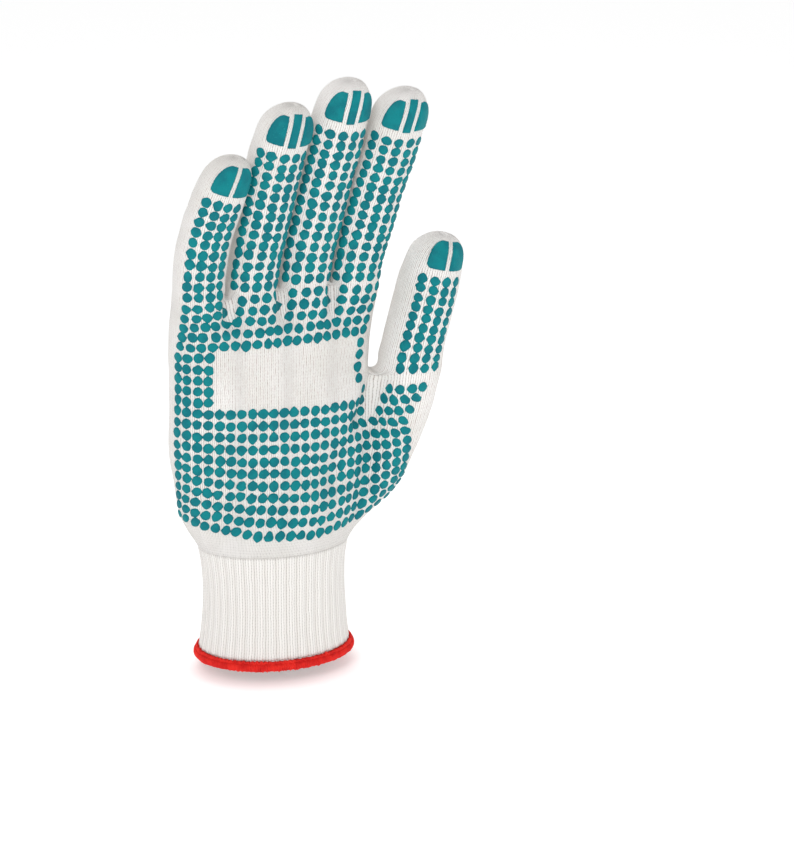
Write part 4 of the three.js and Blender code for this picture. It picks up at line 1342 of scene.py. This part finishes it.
# %% Ribbed yarn
rib_yarn, n, shader = make_material("rib_yarn")
stitches = n.add("ShaderNodeUVMap", uv_map="stitches").outputs[0]
where = n.add("ShaderNodeTexCoord").outputs["Object"]
knit = n.add("ShaderNodeGroup", {}, node_tree=knit_group)
n.feed(knit.inputs["Stitches"], stitches)
n.feed(knit.inputs["Stretch"], 0.15)
fibre = n.noise(where, 2600, 3.0, 0.7)
wale = n.add("ShaderNodeSeparateXYZ", {0: stitches}).outputs[0]
# Painted shade: the sunk wales between the ribs are darkened
valley = n.math("ABSOLUTE", n.math("SUBTRACT", n.math("FRACT", n.math("DIVIDE", wale, WALES_PER_RIB)), 0.5))
valley = n.band(valley, 0.3, 0.02)
body = n.mix(n.math("MULTIPLY", valley, 0.2), linear(247, 244, 240), linear(196, 187, 177))
# Painted shade: the cuff's yarn is darkened in the gaps between the stitches
body = n.mix(n.math("MULTIPLY", knit.outputs["Gap"], 0.95), body, linear(150, 137, 126))
# The holes are real openings in the knit; their dark colour is painted shade of the glove's inside
body = n.mix(n.math("MULTIPLY", knit.outputs["Hole"], 0.6), body, linear(104, 92, 82))
n.feed(shader.inputs["Base Color"], body)
n.feed(shader.inputs["Roughness"], 0.92)
n.feed(shader.inputs["Sheen Weight"], 0.2)
n.feed(shader.inputs["Sheen Roughness"], 0.6)
relief = n.math("ADD", knit.outputs["Height"], n.math("MULTIPLY", fibre, 0.22))
bump = n.add("ShaderNodeBump", {"Height": relief, "Strength": 0.8, "Distance": 0.00045})
n.feed(shader.inputs["Normal"], bump.outputs[0])
cuff.data.materials.clear()
cuff.data.materials.append(rib_yarn)
print("ribbed yarn on", cuff.name)

# %% Teal print
teal_print, n, shader = make_material("teal_print")
where = n.add("ShaderNodeTexCoord").outputs["Object"]
grain = n.noise(where, 1500, 3.0, 0.65)
patch = n.noise(where, 160, 2.0)
fine = n.noise(where, 4200, 2.0, 0.6)
body = n.mix(n.band(patch, 0.35, 0.65), linear(0, 112, 122), linear(0, 128, 134))
body = n.mix(n.math("MULTIPLY", n.band(grain, 0.6, 0.72), 0.4), body, linear(36, 158, 156))
body = n.mix(n.math("MULTIPLY", n.band(fine, 0.3, 0.45, 1.0, 0.0), 0.4), body, linear(0, 78, 88))
n.feed(shader.inputs["Base Color"], body)
n.feed(shader.inputs["Roughness"], 0.55)
n.feed(shader.inputs["Specular IOR Level"], 0.16)
relief = n.math("ADD", n.math("MULTIPLY", grain, 0.8), n.math("MULTIPLY", fine, 0.4))
bump = n.add("ShaderNodeBump", {"Height": relief, "Strength": 0.45, "Distance": 0.0003})
n.feed(shader.inputs["Normal"], bump.outputs[0])
for piece in printed + pads:
    piece.data.materials.clear()
    piece.data.materials.append(teal_print)
print("teal print on", len(printed + pads), "pieces")

# %% Red thread
red_thread, n, shader = make_material("red_thread")
where = n.add("ShaderNodeTexCoord").outputs["Object"]
fibre = n.noise(where, 2200, 3.0, 0.7)
shade = n.noise(where, 320, 2.0)
body = n.mix(n.band(shade, 0.35, 0.65), linear(212, 22, 18), linear(234, 40, 30))
body = n.mix(n.math("MULTIPLY", n.band(fibre, 0.5, 0.72), 0.3), body, linear(244, 92, 76))
n.feed(shader.inputs["Base Color"], body)
n.feed(shader.inputs["Roughness"], 0.7)
n.feed(shader.inputs["Specular IOR Level"], 0.25)
bump = n.add("ShaderNodeBump", {"Height": fibre, "Strength": 0.6, "Distance": 0.0002})
n.feed(shader.inputs["Normal"], bump.outputs[0])
for piece in (hem, thread, zigzag):
    piece.data.materials.clear()
    piece.data.materials.append(red_thread)
print("red thread on the hem")

# %% Every piece belongs to the glove
pieces = [skin, cuff, hem, thread, zigzag] + printed + pads
for piece in pieces:
    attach(piece, "root")
triangles = 0
for piece in pieces:
    piece.data.calc_loop_triangles()
    triangles += len(piece.data.loop_triangles)
print("pieces:", len(pieces), "triangles:", triangles)

# %% [markdown]
# ## Light, ground and camera
# The photo is a plain studio shot: a near white ground, wide soft light and a long lens. The glove keeps the
# form of a hand in it, so it is shown held up, just clear of the ground.

# %% Ground
GROUND_DROP = 0.006
deselect()
bpy.ops.mesh.primitive_plane_add(size=30, location=(0, 0, -GROUND_DROP))
ground = bpy.context.object
ground.name = "ground"
pale, n, shader = make_material("pale_ground")
n.feed(shader.inputs["Base Color"], (0.93, 0.93, 0.93, 1))
n.feed(shader.inputs["Emission Color"], (1, 1, 1, 1))
n.feed(shader.inputs["Emission Strength"], 0.3)
n.feed(shader.inputs["Roughness"], 0.9)
ground.data.materials.append(pale)
ground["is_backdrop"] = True

# %% Camera at the photo's angle
AZIMUTH = math.radians(-25)
ELEVATION = math.radians(16)
DISTANCE = 1.4
PHOTO_WIDTH, PHOTO_HEIGHT = 794, 854
SCALE = 0.4075 * MM  # metres for one photo pixel at the glove
HEM_AT = (272, 671)  # where the hem's nearest low point is in the photo

forward = Vector((-math.sin(AZIMUTH) * math.cos(ELEVATION), math.cos(AZIMUTH) * math.cos(ELEVATION), -math.sin(ELEVATION)))
right = Vector((math.cos(AZIMUTH), math.sin(AZIMUTH), 0))
above = right.cross(forward)
hem_spot = Vector((0, 0, 0)) - Vector((forward.x, forward.y, 0)).normalized() * (WRIST_DEPTH / 2 + 1) * MM
aim = hem_spot + right * (PHOTO_WIDTH / 2 - HEM_AT[0]) * SCALE - above * (PHOTO_HEIGHT / 2 - HEM_AT[1]) * SCALE
camera_data = bpy.data.cameras.new("camera")
camera_data.sensor_fit = "VERTICAL"
camera_data.sensor_height = 24
camera_data.lens = 24 * DISTANCE / (PHOTO_HEIGHT * SCALE)
camera = bpy.data.objects.new("camera", camera_data)
bpy.context.collection.objects.link(camera)
camera.location = aim - forward * DISTANCE
camera.rotation_euler = forward.to_track_quat("-Z", "Y").to_euler()
bpy.context.scene.camera = camera
print("lens:", round(camera_data.lens, 1), "mm")


# %% Light
def soft_light(name, place, target, size, power, colour=(1, 1, 1)):
    data = bpy.data.lights.new(name, "AREA")
    data.shape = "RECTANGLE"
    data.size, data.size_y = size
    data.energy = power
    data.color = colour
    lamp = bpy.data.objects.new(name, data)
    bpy.context.collection.objects.link(lamp)
    lamp.location = place
    lamp.rotation_euler = (Vector(target) - Vector(place)).to_track_quat("-Z", "Y").to_euler()
    return lamp


soft_light("key_light", (-0.55, -0.75, 0.75), (0, 0, 0.12), (0.5, 0.5), 3.4)
soft_light("fill_light", (0.8, -0.6, 0.35), (0, 0, 0.12), (0.6, 0.6), 0.9)
soft_light("top_light", (0.1, 0.3, 1.0), (0, 0, 0.12), (0.7, 0.7), 1.6)
world = bpy.data.worlds.new("studio")
world.use_nodes = True
world.node_tree.nodes["Background"].inputs["Color"].default_value = (1, 1, 1, 1)
world.node_tree.nodes["Background"].inputs["Strength"].default_value = 0.72
bpy.context.scene.world = world
bpy.context.scene.view_settings.view_transform = "Standard"
print("lights set")

# %% Sizes and finish
low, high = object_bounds()
print("shown size in mm:", [round((b - a) / MM, 1) for a, b in zip(low, high)])
